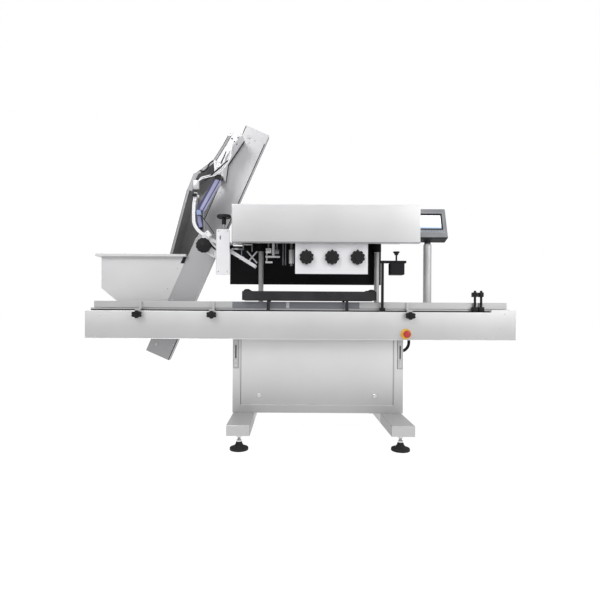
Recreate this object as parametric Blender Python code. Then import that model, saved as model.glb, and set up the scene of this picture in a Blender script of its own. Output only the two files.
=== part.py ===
"""An in-line bottle capping machine with a cap elevator, in metres with +Z up.

The conveyor runs along X, the operator stands at -Y and the floor is Z = 0.
Everything hangs from the empty called machine, whose X = 0 is the middle of
the conveyor. The capping head, the elevator, the chute slide and each other
moving group have an empty of their own at their joint.
"""

import math

import bmesh
import bpy
from mathutils import Matrix, Vector

# Clearances and counts
GAP = 0.0003
SHAFT_GAP = 0.0004
ROUND_STEPS = 20
FINE_STEPS = 28
SMALL_STEPS = 12
SMOOTH_ANGLE = math.radians(38)

# Overall placing: the hopper reaches past the conveyor, so the conveyor sits off centre
CONVEYOR_SHIFT = 0.0125

# Conveyor
CONVEYOR_LENGTH = 2.400
LINE_Y = -0.220
FRONT_SKIRT_Y = -0.315
REAR_SKIRT_Y = -0.125
SKIRT_BOTTOM = 0.571
SKIRT_TOP = 0.727
SKIRT_SHEET = 0.003
SKIRT_LEG = 0.020
RAISED_END_LENGTH = 0.137
CHAIN_TOP = 0.741
CHAIN_WIDTH = 0.083
SLAT_THICKNESS = 0.006
SLAT_PITCH = 0.0381
SLAT_SLOT = 0.002
SLAT_SLOT_DEPTH = 0.0025
SPROCKET_RADIUS = 0.066
SPROCKET_INSET = 0.084
SHAFT_RADIUS = 0.0125
SADDLES_X = (-0.300, 0.250)

# Cabinet and feet
CABINET_LEFT = -0.387
CABINET_RIGHT = 0.596
CABINET_FRONT = -0.225
CABINET_REAR = 0.225
CABINET_TOP = 0.568
CABINET_SHEET = 0.003
STILE_WIDTH = 0.046
SILL_HEIGHT = 0.046
TOP_LIP = 0.0035
DOOR_GAP = 0.003
DOOR_DEPTH = 0.018
DOOR_SHEET = 0.0025
BEAM_HALF_LENGTH = 0.515
BEAM_WIDTH = 0.120
BEAM_HEIGHT = 0.055
BEAM_BOTTOM = 0.087
BEAM_SHEET = 0.003
BEAM_BEND = 0.006
LEFT_BEAM_X = -0.322
RIGHT_BEAM_X = 0.527
FOOT_INSET = 0.062
PAD_RADIUS = 0.049
STUD_RADIUS = 0.008
LOCK_RADIUS = 0.0125
LOCK_RISE = 0.052
LOCK_INSET = 0.103

# Capping head
COLUMN_RADIUS = 0.016
COLUMN_Y = 0.030
LEFT_COLUMN_X = -0.243
RIGHT_COLUMN_X = 0.489
COLUMN_FOOT = 0.250
DECK_BOTTOM = 1.165
DECK_THICKNESS = 0.012
DECK_REAR = 0.080
BACK_PLATE_LEFT = -0.444
BACK_PLATE_RIGHT = 0.524
BACK_PLATE_BOTTOM = 0.900
BACK_PLATE_THICKNESS = 0.012
HOOD_LEFT = -0.377
HOOD_RIGHT = 0.647
HOOD_FRONT = -0.380
HOOD_REAR = 0.120
HOOD_BOTTOM = 1.101
HOOD_TOP = 1.310
HOOD_REAR_RISE = 0.072
HOOD_SHEET = 0.002
HOOD_LIP = 0.034
HOOD_BEND = 0.006
PLATE_LEFT = -0.031
PLATE_RIGHT = 0.370
PLATE_BELOW_KNOBS = 0.090
PLATE_FRONT = -0.340
PLATE_THICKNESS = 0.008
STATION_MIDDLE = 0.171
STATION_PITCH = 0.140
KNOB_DROP = 0.140
KNOB_HEIGHT = DECK_BOTTOM - KNOB_DROP
KNOB_RADIUS = 0.0395
KNOB_DEPTH = 0.022
WHEEL_RADIUS = 0.032
WHEEL_HEIGHT = 0.026
WHEEL_BOTTOM = 0.978
WHEEL_OFFSET = 0.047
SPINDLE_RADIUS = 0.008
SPINDLE_TOP = 1.215
PULLEY_RADIUS = 0.024
BLOCK_SIDE = 0.042
BLOCK_BOTTOM = 1.060

# Grippers and guide rails
BOTTLE_RADIUS = 0.036
GRIPPER_BOTTOM = 0.790
GRIPPER_HEIGHT = 0.050
GRIPPER_LEFT = -0.300
GRIPPER_RIGHT = 0.400
GRIPPER_WIDTH = 0.058
RAIL_BOTTOM = 0.744
RAIL_HEIGHT = 0.038
CLAMP_HALF_WIDTH = 0.015
SENSORS_X = (0.984, 1.019)
RAIL_THICKNESS = 0.010
RAIL_OFFSET = 0.040
RAIL_STATIONS = (-0.903, -0.491, 0.606)
GUIDE_KNOB_HEIGHT = 0.7065
GUIDE_KNOB_RADIUS = 0.022

# Elevator, in its own tilted frame: X away from the belt side, Z up along the belt
ELEVATOR_X = -0.928
ELEVATOR_Y = -0.100
ELEVATOR_Z = 0.488
ELEVATOR_TILT = math.radians(23.7)
ELEVATOR_LENGTH = 1.490
ELEVATOR_DEPTH = 0.090
GUARD_DEPTH = 0.150
GUARD_WIDTH = 0.045
ELEVATOR_WIDTH = 0.200
ELEVATOR_SHEET = 0.003
ROLLER_RADIUS = 0.0290
ROLLER_INSET = 0.060
BELT_THICKNESS = 0.003
CLEAT_HEIGHT = 0.011
CLEAT_COUNT = 22
COVER_THICKNESS = 0.006
COVER_START = 0.144
COVER_END = 1.435

# Hopper
HOPPER_LEFT = -1.198
HOPPER_TOP = 1.056
HOPPER_SHEET = 0.002
HOPPER_FLANGE = 0.027
HOPPER_LOW = 0.600
HOPPER_KNEE = 0.860

# Chute and its slide
CHUTE_NEAR = -0.247
CHUTE_FAR = -0.187
CHUTE_DEPTH = 0.018
CHUTE_HEAD_BOTTOM = 1.500
CHUTE_RAISE = 0.010
RAISED_CLEARANCE = 0.001
CHUTE_WALL = 0.002
SCREW_X = -0.436
SCREW_Y = -0.266
SCREW_RADIUS = 0.009
POST_LEFT = -0.473
POST_RIGHT = -0.399
POST_FRONT = -0.300
POST_THICKNESS = 0.012
POST_BOTTOM = 0.930
POST_TOP = 1.186
HANDWHEEL_RADIUS = 0.0405
HANDWHEEL_HEIGHT = 1.265
CHUTE_KNOB_X = -0.550
CHUTE_KNOB_Z = 1.099
CHUTE_KNOB_RADIUS = 0.0425

# Touch panel, stop button and stands
HMI_POST_X = 0.772
HMI_POST_Y = -0.095
HMI_POST_RADIUS = 0.024
HMI_POST_TOP = 1.142
HMI_WIDTH = 0.215
HMI_HEIGHT = 0.195
HMI_DEPTH = 0.066
HMI_TILT = math.radians(18)
STOP_X = 0.588
STOP_Z = 0.605
STOP_RADIUS = 0.0205
STOP_TRAVEL = 0.004
STAND_X = 0.536
STAND_Y = -0.300
STAND_ROD_X = 0.459
STAND_TOP = 1.000
CONDUIT_HEIGHT = 0.493

# Finishes: colour, roughness and metallic value
FINISHES = {
    "stainless": ((0.62, 0.62, 0.63), 0.32, 1.0),
    "stainless_pale": ((0.80, 0.80, 0.81), 0.30, 0.9),
    "aluminium": ((0.70, 0.70, 0.71), 0.40, 0.9),
    "chrome": ((0.75, 0.75, 0.76), 0.12, 1.0),
    "black_plastic": ((0.015, 0.015, 0.016), 0.45, 0.0),
    "black_paint": ((0.03, 0.03, 0.033), 0.5, 0.0),
    "grey_plastic": ((0.35, 0.36, 0.38), 0.5, 0.0),
    "blue_film": ((0.16, 0.18, 0.55), 0.35, 0.0),
    "rubber": ((0.04, 0.04, 0.042), 0.8, 0.0),
    "belt_white": ((0.75, 0.76, 0.74), 0.6, 0.0),
    "signal_red": ((0.60, 0.02, 0.02), 0.35, 0.0),
    "signal_yellow": ((0.85, 0.55, 0.02), 0.4, 0.0),
}

AXES = {"X": Vector((1, 0, 0)), "Y": Vector((0, 1, 0)), "Z": Vector((0, 0, 1))}
TURNS = {
    "X": Matrix.Rotation(math.radians(90), 4, "Y"),
    "Y": Matrix.Rotation(math.radians(-90), 4, "X"),
    "Z": Matrix.Identity(4),
}


def clear_scene():
    for thing in list(bpy.data.objects):
        bpy.data.objects.remove(thing)


def finish(name):
    """The shared material of one finish, made when it is first asked for."""
    if name in bpy.data.materials:
        return bpy.data.materials[name]
    colour, roughness, metallic = FINISHES[name]
    material = bpy.data.materials.new(name)
    material.use_nodes = True
    shader = material.node_tree.nodes["Principled BSDF"]
    shader.inputs["Base Color"].default_value = (*colour, 1)
    shader.inputs["Roughness"].default_value = roughness
    shader.inputs["Metallic"].default_value = metallic
    return material


def empty(name, parent=None, location=(0, 0, 0), rotation=(0, 0, 0)):
    frame = bpy.data.objects.new(name, None)
    bpy.context.scene.collection.objects.link(frame)
    frame.parent = parent
    frame.location = location
    frame.rotation_euler = rotation
    return frame


def shape(mesh_builder):
    """An object, still unnamed, from a bmesh."""
    bmesh.ops.recalc_face_normals(mesh_builder, faces=mesh_builder.faces)
    mesh = bpy.data.meshes.new("shape")
    mesh_builder.to_mesh(mesh)
    mesh_builder.free()
    mesh.shade_smooth()
    mesh.set_sharp_from_angle(angle=SMOOTH_ANGLE)
    piece = bpy.data.objects.new("shape", mesh)
    bpy.context.scene.collection.objects.link(piece)
    return piece


def spread(axis, along, point):
    """The 3-D place of a 2-D point that lies across an axis."""
    first, second = point
    if axis == "X":
        return Vector((along, first, second))
    if axis == "Y":
        return Vector((first, along, second))
    return Vector((first, second, along))


def prism(outline, axis, low, high, bevel=0.0, bevel_steps=1):
    """A straight extrusion of a closed outline, its rims bevelled if asked."""
    builder = bmesh.new()
    corners = [builder.verts.new(spread(axis, low, point)) for point in outline]
    start = builder.faces.new(corners)
    made = bmesh.ops.extrude_face_region(builder, geom=[start])["geom"]
    moved = [item for item in made if isinstance(item, bmesh.types.BMVert)]
    bmesh.ops.translate(builder, verts=moved, vec=AXES[axis] * (high - low))
    if bevel:
        along = AXES[axis]
        rims = [
            edge
            for edge in builder.edges
            if abs((edge.verts[0].co - edge.verts[1].co).normalized().dot(along)) < 0.5
        ]
        bmesh.ops.bevel(
            builder, geom=rims, offset=bevel, segments=bevel_steps, affect="EDGES", profile=0.5
        )
    return shape(builder)


def box(low, high, bevel=0.0, bevel_steps=1):
    """A block between two corners, all its edges bevelled if asked."""
    builder = bmesh.new()
    bmesh.ops.create_cube(builder, size=1)
    low, high = Vector(low), Vector(high)
    for vert in builder.verts:
        vert.co = Vector(
            (
                high[side] if vert.co[side] > 0 else low[side]
                for side in range(3)
            )
        )
    if bevel:
        bmesh.ops.bevel(
            builder,
            geom=list(builder.edges),
            offset=bevel,
            segments=bevel_steps,
            affect="EDGES",
            profile=0.5,
        )
    return shape(builder)


def turned(profile, axis, centre, steps=ROUND_STEPS, ring=False):
    """A body of revolution; the profile lists (radius, height along the axis)."""
    builder = bmesh.new()
    verts = [builder.verts.new((radius, 0, height)) for radius, height in profile]
    edges = [builder.edges.new(pair) for pair in zip(verts, verts[1:])]
    if ring:
        edges.append(builder.edges.new((verts[-1], verts[0])))
    bmesh.ops.spin(
        builder,
        geom=verts + edges,
        axis=(0, 0, 1),
        cent=(0, 0, 0),
        angle=math.tau,
        steps=steps,
        use_duplicate=False,
    )
    bmesh.ops.remove_doubles(builder, verts=builder.verts, dist=1e-6)
    bmesh.ops.dissolve_degenerate(builder, edges=builder.edges, dist=1e-7)
    builder.transform(Matrix.Translation(centre) @ TURNS[axis])
    return shape(builder)


def rod(axis, centre, radius, low, high, steps=ROUND_STEPS):
    """A plain cylinder along an axis, from low to high on that axis."""
    base = Vector(centre)
    base["XYZ".index(axis)] = 0
    return turned([(0, low), (radius, low), (radius, high), (0, high)], axis, base, steps)


def arc(centre, radius, start, end, steps):
    """Points on an arc, angles in degrees."""
    return [
        (
            centre[0] + radius * math.cos(math.radians(start + (end - start) * step / steps)),
            centre[1] + radius * math.sin(math.radians(start + (end - start) * step / steps)),
        )
        for step in range(steps + 1)
    ]


def rounded_path(points, radii, steps=6):
    """A path whose inner corners are replaced by arcs of the given radii."""
    path = [Vector(points[0])]
    for before, corner, after, radius in zip(points, points[1:], points[2:], radii):
        before, corner, after = Vector(before), Vector(corner), Vector(after)
        back = (before - corner).normalized()
        ahead = (after - corner).normalized()
        half = back.angle(ahead) / 2
        reach = radius / math.tan(half)
        centre = corner + (back + ahead).normalized() * (radius / math.sin(half))
        start = corner + back * reach - centre
        turn = start.angle_signed(corner + ahead * reach - centre)
        for step in range(steps + 1):
            path.append(centre + Matrix.Rotation(-turn * step / steps, 2) @ start)
    path.append(Vector(points[-1]))
    return path


def offset_path(path, distance):
    """The path moved sideways by a distance, to the left of its direction."""
    path = [Vector(point) for point in path]
    moved = []
    for index, point in enumerate(path):
        sides = []
        if index:
            step = (point - path[index - 1]).normalized()
            sides.append(Vector((-step.y, step.x)))
        if index < len(path) - 1:
            step = (path[index + 1] - point).normalized()
            sides.append(Vector((-step.y, step.x)))
        middle = sum(sides, Vector((0, 0))).normalized()
        moved.append(point + middle * (distance / middle.dot(sides[0])))
    return moved


def extended(path, length):
    """The path made longer at both ends."""
    path = [Vector(point) for point in path]
    first = path[0] + (path[0] - path[1]).normalized() * length
    last = path[-1] + (path[-1] - path[-2]).normalized() * length
    return [first] + path + [last]


def bent_sheet(path, thickness):
    """The closed outline of a sheet folded along a path."""
    return [tuple(p) for p in path] + [tuple(p) for p in reversed(offset_path(path, thickness))]


def rounded_box_outline(low, high, radius, steps=3):
    """A rectangle with round corners, anticlockwise."""
    (left, bottom), (right, top) = low, high
    points = []
    corners = (
        (right - radius, bottom + radius, -90),
        (right - radius, top - radius, 0),
        (left + radius, top - radius, 90),
        (left + radius, bottom + radius, 180),
    )
    for x, y, start in corners:
        points += arc((x, y), radius, start, start + 90, steps)
    return points


def lobed_outline(centre, radius, lobes, depth, steps_per_lobe=5):
    """A knob's outline: a circle with evenly spaced finger hollows."""
    count = lobes * steps_per_lobe
    points = []
    for step in range(count):
        angle = math.tau * step / count
        hollow = (0.5 + 0.5 * math.cos(lobes * angle)) ** 2
        reach = radius - depth * hollow
        points.append((centre[0] + reach * math.cos(angle), centre[1] + reach * math.sin(angle)))
    return points


def boolean(piece, operand, operation):
    modifier = piece.modifiers.new(operation.lower(), "BOOLEAN")
    modifier.operation = operation
    modifier.solver = "EXACT"
    modifier.object = operand
    operand.hide_render = True
    operand.display_type = "WIRE"


def node(name, finish_name, parent, shapes, cuts=(), origin=(0, 0, 0)):
    """Names the first shape, joins the others to it and cuts the cutters from it.

    Every shape is given in the parent's own frame. The piece's origin moves to
    the place given, which is on the joint axis for a piece that moves.
    """
    piece = shapes[0]
    piece.name = name
    piece.data.name = name
    piece.data.materials.append(finish(finish_name))
    origin = Vector(origin)
    piece.data.transform(Matrix.Translation(-origin))
    piece.parent = parent
    piece.location = origin
    for index, other in enumerate(shapes[1:]):
        other.name = f"{name}_joined_{index}"
        other.parent = parent
        boolean(piece, other, "UNION")
    for index, cutter in enumerate(cuts):
        cutter.name = f"{name}_cutter_{index}"
        cutter.parent = parent
        boolean(piece, cutter, "DIFFERENCE")
    return piece


# Cabinet and feet


def cabinet(machine):
    bottom = BEAM_BOTTOM + BEAM_HEIGHT + GAP
    shell = box(
        (CABINET_LEFT, CABINET_FRONT, bottom), (CABINET_RIGHT, CABINET_REAR, CABINET_TOP)
    )
    sheet = CABINET_SHEET
    room = box(
        (CABINET_LEFT + sheet, CABINET_FRONT + sheet, bottom + sheet),
        (CABINET_RIGHT - sheet, CABINET_REAR - sheet, CABINET_TOP - sheet),
    )
    doorway = box(
        (CABINET_LEFT + STILE_WIDTH, CABINET_FRONT - 0.05, bottom + SILL_HEIGHT),
        (CABINET_RIGHT - STILE_WIDTH - 0.009, CABINET_FRONT + 0.02, CABINET_TOP - TOP_LIP),
    )
    bars = []
    for left in (CABINET_LEFT + 0.006, CABINET_RIGHT - 0.032):
        bars.append(
            box(
                (left, CABINET_FRONT - 0.006, 0.401),
                (left + 0.026, CABINET_FRONT + 0.001, CABINET_TOP - 0.001),
                bevel=0.0015,
            )
        )
    slots = []
    for left in (CABINET_LEFT + 0.006, CABINET_RIGHT - 0.032):
        slots.append(
            prism(
                rounded_box_outline((left + 0.009, 0.455), (left + 0.017, 0.535), 0.0039),
                "Y",
                CABINET_FRONT - 0.02,
                CABINET_FRONT - 0.001,
            )
        )
    bores = [
        rod("Z", (x, COLUMN_Y, 0), COLUMN_RADIUS + SHAFT_GAP, 0.4, 0.7)
        for x in (LEFT_COLUMN_X, RIGHT_COLUMN_X)
    ]
    flanges = [
        turned(
            [(0, CABINET_TOP - 0.03), (0.03, CABINET_TOP - 0.03), (0.03, CABINET_TOP + 0.026),
             (0.024, CABINET_TOP + 0.032), (0, CABINET_TOP + 0.032)],
            "Z",
            (x, COLUMN_Y, 0),
            24,
        )
        for x in (LEFT_COLUMN_X, RIGHT_COLUMN_X)
    ]
    piece = node(
        "cabinet", "stainless", machine, [shell], cuts=[room, doorway],
    )
    for index, joined in enumerate(bars + flanges):
        joined.name = f"cabinet_fitting_{index}"
        joined.parent = machine
        boolean(piece, joined, "UNION")
    for index, cutter in enumerate(slots + bores):
        cutter.name = f"cabinet_hole_{index}"
        cutter.parent = machine
        boolean(piece, cutter, "DIFFERENCE")


def door_limits():
    """The door's left, right, bottom and top edges."""
    bottom = BEAM_BOTTOM + BEAM_HEIGHT + GAP + SILL_HEIGHT
    return (
        CABINET_LEFT + STILE_WIDTH + DOOR_GAP,
        CABINET_RIGHT - STILE_WIDTH - 0.009 - DOOR_GAP,
        bottom + DOOR_GAP,
        CABINET_TOP - TOP_LIP - GAP,
    )


def lock_places():
    left, right, bottom, _ = door_limits()
    height = bottom + LOCK_RISE
    return ((left + LOCK_INSET, height), (right - LOCK_INSET, height))


def cabinet_door(machine):
    """A tray-shaped door panel on a top hinge, with two quarter-turn locks."""
    left, right, bottom, top = door_limits()
    hinge = empty("door_hinge", machine, (0, CABINET_FRONT, top))
    low = bottom - top
    tray = box((left, 0, low), (right, DOOR_DEPTH, 0))
    pocket = box(
        (left + DOOR_SHEET, DOOR_SHEET, low + DOOR_SHEET),
        (right - DOOR_SHEET, DOOR_DEPTH + 0.02, -DOOR_SHEET),
    )
    holes = [
        rod("Y", (x, 0, z - top), 0.009 + SHAFT_GAP, -0.02, 0.03)
        for x, z in lock_places()
    ]
    node("cabinet_door", "stainless", hinge, [tray], cuts=[pocket] + holes)
    for side, (x, z) in zip(("left", "right"), lock_places()):
        head = turned(
            [(0, -0.006), (0.0105, -0.006), (LOCK_RADIUS, -0.0045), (LOCK_RADIUS, -GAP),
             (0.009, -GAP), (0.009, 0.020), (0, 0.020)],
            "Y",
            (x, 0, z - top),
            16,
        )
        slot = box((x - 0.0085, -0.01, z - top - 0.0014), (x + 0.0085, -0.0032, z - top + 0.0014))
        cam = box((x - 0.008, 0.0185, z - top - 0.008), (x + 0.030, 0.022, z - top + 0.008))
        node(
            f"door_lock_{side}", "chrome", hinge, [head, cam], cuts=[slot],
            origin=(x, 0, z - top),
        )


def foot_beam(machine, name, middle):
    """A folded channel, open below, whose ends are bent down."""
    half = BEAM_WIDTH / 2
    top = BEAM_BOTTOM + BEAM_HEIGHT
    outline = rounded_path(
        [
            (-BEAM_HALF_LENGTH, BEAM_BOTTOM),
            (-BEAM_HALF_LENGTH, top),
            (BEAM_HALF_LENGTH, top),
            (BEAM_HALF_LENGTH, BEAM_BOTTOM),
        ],
        (BEAM_BEND, BEAM_BEND),
        4,
    )
    outside = prism([tuple(p) for p in outline], "X", middle - half, middle + half)
    inner = offset_path(outline, -BEAM_SHEET)
    inner[0].y -= 0.01
    inner[-1].y -= 0.01
    hollow = prism(
        [tuple(p) for p in inner], "X", middle - half + BEAM_SHEET, middle + half - BEAM_SHEET
    )
    piece = node(name, "stainless", machine, [outside], cuts=[hollow])
    for index, side in enumerate((-1, 1)):
        place = (middle, side * (BEAM_HALF_LENGTH - FOOT_INSET), 0)
        boss = turned(
            [(0, BEAM_BOTTOM - 0.012), (0.0155, BEAM_BOTTOM - 0.012), (0.0155, top - 0.001),
             (0, top - 0.001)],
            "Z",
            place,
            6,
        )
        boss.name = f"{name}_nut_{index}"
        boss.parent = machine
        boolean(piece, boss, "UNION")
        bore = rod("Z", place, STUD_RADIUS + SHAFT_GAP, 0.05, top - BEAM_SHEET, SMALL_STEPS)
        bore.name = f"{name}_bore_{index}"
        bore.parent = machine
        boolean(piece, bore, "DIFFERENCE")


def levelling_feet(machine):
    """Four pads on threaded studs that screw up into the beams."""
    for column, middle in (("left", LEFT_BEAM_X), ("right", RIGHT_BEAM_X)):
        for row, side in (("front", -1), ("rear", 1)):
            y = side * (BEAM_HALF_LENGTH - FOOT_INSET)
            profile = [
                (0, 0), (PAD_RADIUS, 0), (PAD_RADIUS, 0.010), (PAD_RADIUS - 0.004, 0.014),
                (0.030, 0.018), (0.017, 0.031), (0.015, 0.040), (0.0115, 0.043),
                (STUD_RADIUS, 0.043), (STUD_RADIUS, 0.1175), (STUD_RADIUS - 0.002, 0.1195),
                (0, 0.1195),
            ]
            foot = turned(profile, "Z", (middle, y, 0), 18)
            node(f"levelling_foot_{row}_{column}", "black_plastic", machine, [foot],
                 origin=(middle, y, 0))


def control_backplate(machine):
    """The electrical plate inside the cabinet, with its drives and terminal rows."""
    rear = CABINET_REAR - CABINET_SHEET - GAP
    bottom = BEAM_BOTTOM + BEAM_HEIGHT + 2 * GAP + CABINET_SHEET
    plate = box((0.02, rear - 0.004, bottom), (0.42, rear, 0.520))
    devices = []
    for left, width, low, height, depth in (
        (0.045, 0.090, 0.380, 0.115, 0.085),
        (0.150, 0.070, 0.380, 0.115, 0.070),
        (0.235, 0.150, 0.400, 0.080, 0.055),
        (0.045, 0.200, 0.270, 0.070, 0.050),
        (0.265, 0.120, 0.270, 0.075, 0.060),
        (0.045, 0.340, 0.190, 0.035, 0.045),
    ):
        devices.append(
            box((left, rear - 0.004 - depth, low), (left + width, rear - 0.001, low + height),
                bevel=0.003)
        )
    node("control_backplate", "grey_plastic", machine, [plate] + devices)


def lift_actuator(machine):
    """The screw jack that raises the head by its crosshead."""
    bottom = BEAM_BOTTOM + BEAM_HEIGHT + 2 * GAP + CABINET_SHEET
    x = (LEFT_COLUMN_X + RIGHT_COLUMN_X) / 2 - 0.15
    base = box((x - 0.05, COLUMN_Y - 0.045, bottom), (x + 0.05, COLUMN_Y + 0.045, bottom + 0.02))
    case = box(
        (x - 0.038, COLUMN_Y - 0.035, bottom + 0.015), (x + 0.038, COLUMN_Y + 0.035, 0.232)
    )
    motor = turned(
        [(0, -0.13), (0.026, -0.13), (0.031, -0.125), (0.031, -0.02), (0, -0.02)],
        "X", (x, COLUMN_Y, 0.195), 20,
    )
    node("lift_actuator", "aluminium", machine, [base, case, motor])


# Conveyor


def skirt(machine, name, face, inward):
    """A folded side panel with inward legs; its right end stands up to the chain's level."""
    half = CONVEYOR_LENGTH / 2
    inner = face + inward * SKIRT_LEG
    path = [
        (inner, SKIRT_BOTTOM + SKIRT_SHEET),
        (face + inward * SKIRT_SHEET, SKIRT_BOTTOM + SKIRT_SHEET),
        (face + inward * SKIRT_SHEET, SKIRT_TOP - SKIRT_SHEET),
        (inner, SKIRT_TOP - SKIRT_SHEET),
    ]
    outline = bent_sheet(path, SKIRT_SHEET * inward)
    panel = prism(outline, "X", -half, half, bevel=0)
    riser = box(
        (half - RAISED_END_LENGTH, min(face, face + inward * SKIRT_LEG), SKIRT_TOP - 0.002),
        (half, max(face, face + inward * SKIRT_LEG), CHAIN_TOP),
        bevel=0.002,
    )
    ends = []
    for side in (-1, 1):
        inside = side * (half - SKIRT_SHEET)
        ends.append(
            box(
                (min(side * half, inside), min(face, inner), SKIRT_BOTTOM + 0.001),
                (max(side * half, inside), max(face, inner), SKIRT_TOP - 0.001),
            )
        )
    cuts = []
    if inward < 0:
        cuts = [
            rod("Y", (side * (half - SPROCKET_INSET), 0, sprocket_height()),
                SHAFT_RADIUS + SHAFT_GAP, face - 0.03, face + 0.03)
            for side in (-1, 1)
        ]
    node(name, "stainless", machine, [panel, riser] + ends, cuts=cuts)


def sprocket_height():
    return CHAIN_TOP - SLAT_THICKNESS - SPROCKET_RADIUS


def conveyor_bed(machine):
    """The slider bed between the skirts, with cross ties and saddles on the cabinet."""
    front = FRONT_SKIRT_Y + SKIRT_SHEET + GAP
    rear = REAR_SKIRT_Y - SKIRT_SHEET - GAP
    half = CONVEYOR_LENGTH / 2 - SPROCKET_INSET - SPROCKET_RADIUS - 0.02
    top = CHAIN_TOP - SLAT_THICKNESS - GAP
    low, high = LINE_Y - CHAIN_WIDTH / 2 + 0.010, LINE_Y + CHAIN_WIDTH / 2 - 0.010
    track = box((-half, low, top - 0.018), (half, high, top))
    ties = []
    for x in (-0.88 * half, *SADDLES_X, 0.88 * half):
        ties.append(box((x - 0.02, front, 0.640), (x + 0.02, rear, 0.670)))
        ties.append(box((x - 0.012, low + 0.008, 0.650), (x + 0.012, high - 0.008, top - 0.010)))
    saddles = []
    for x in SADDLES_X:
        saddles.append(
            box((x - 0.015, LINE_Y + CHAIN_WIDTH / 2 + 0.004, CABINET_TOP + GAP),
                (x + 0.015, REAR_SKIRT_Y - SKIRT_LEG - 0.001, 0.645))
        )
    node("conveyor_bed", "aluminium", machine, [track] + ties + saddles)


def loop_outline(half, radius, steps):
    """A stadium outline about the line between two wheel centres, as points and lengths."""
    points = [(half, -radius)]
    points += arc((half, 0), radius, -90, 90, steps)[1:]
    points += arc((-half, 0), radius, 90, 270, steps)
    return points


def point_on_loop(distance, half, radius, height):
    """The place and the outward direction at a distance along a stadium's pitch line."""
    straight = 2 * half
    bend = math.pi * radius
    distance %= 2 * (straight + bend)
    if distance < straight:
        return Vector((half - distance, radius + height))
    distance -= straight
    if distance < bend:
        angle = math.pi / 2 + distance / radius
        return Vector((-half, 0)) + Vector((math.cos(angle), math.sin(angle))) * (radius + height)
    distance -= bend
    if distance < straight:
        return Vector((-half + distance, -radius - height))
    distance -= straight
    angle = -math.pi / 2 + distance / radius
    return Vector((half, 0)) + Vector((math.cos(angle), math.sin(angle))) * (radius + height)


def conveyor_chain(machine):
    """The slat chain: a loop with a slot between each slat and the next."""
    half = CONVEYOR_LENGTH / 2 - SPROCKET_INSET
    length = 4 * half + math.tau * SPROCKET_RADIUS
    count = round(length / SLAT_PITCH)
    pitch = length / count
    slot = SLAT_SLOT
    outline = []
    for index in range(count):
        start = index * pitch
        for along, height in (
            (slot / 2, SLAT_THICKNESS),
            (pitch - slot / 2, SLAT_THICKNESS),
            (pitch, SLAT_THICKNESS - SLAT_SLOT_DEPTH),
        ):
            outline.append(point_on_loop(start + along, half, SPROCKET_RADIUS, height))
    centre = Vector((0, sprocket_height()))
    outer = prism(
        [tuple(p + centre) for p in outline], "Y",
        LINE_Y - CHAIN_WIDTH / 2, LINE_Y + CHAIN_WIDTH / 2,
    )
    inner = loop_outline(half, SPROCKET_RADIUS + 0.0001, 12)
    hollow = prism(
        [(x, z + centre.y) for x, z in inner], "Y", LINE_Y - CHAIN_WIDTH, LINE_Y + CHAIN_WIDTH
    )
    node("conveyor_chain", "stainless", machine, [outer], cuts=[hollow])


def conveyor_shafts(machine):
    """The drive and idler sprockets on their shafts."""
    half = CONVEYOR_LENGTH / 2 - SPROCKET_INSET
    height = sprocket_height()
    sprocket_radius = SPROCKET_RADIUS * math.cos(math.pi / 12) - 2 * GAP
    for name, x, reach in (
        ("conveyor_drive_shaft", half, REAR_SKIRT_Y + 0.030),
        ("conveyor_idler_shaft", -half, REAR_SKIRT_Y + 0.012),
    ):
        front = FRONT_SKIRT_Y + SKIRT_SHEET + 0.012
        shaft = rod("Y", (x, 0, height), SHAFT_RADIUS, front, reach, 20)
        wheel = rod(
            "Y", (x, 0, height), sprocket_radius,
            LINE_Y - CHAIN_WIDTH / 2 + 0.016, LINE_Y + CHAIN_WIDTH / 2 - 0.016, 24,
        )
        node(name, "black_plastic", machine, [wheel, shaft], origin=(x, LINE_Y, height))


def conveyor_gearmotor(machine):
    """The gearmotor behind the drive end, its motor along the conveyor."""
    half = CONVEYOR_LENGTH / 2 - SPROCKET_INSET
    height = sprocket_height()
    face = REAR_SKIRT_Y + GAP
    case = box(
        (half - 0.055, face, height - 0.055), (half + 0.055, face + 0.105, height + 0.050),
        bevel=0.006,
    )
    motor = turned(
        [(0, -0.250), (0.036, -0.250), (0.042, -0.244), (0.042, -0.215), (0.040, -0.215),
         (0.040, -0.075), (0.050, -0.075), (0.050, -0.045), (0, -0.045)],
        "X", (half, face + 0.054, height), 20,
    )
    bore = rod("Y", (half, 0, height), SHAFT_RADIUS + SHAFT_GAP, face - 0.02, face + 0.04, 20)
    node("conveyor_gearmotor", "aluminium", machine, [case, motor], cuts=[bore])


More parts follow.
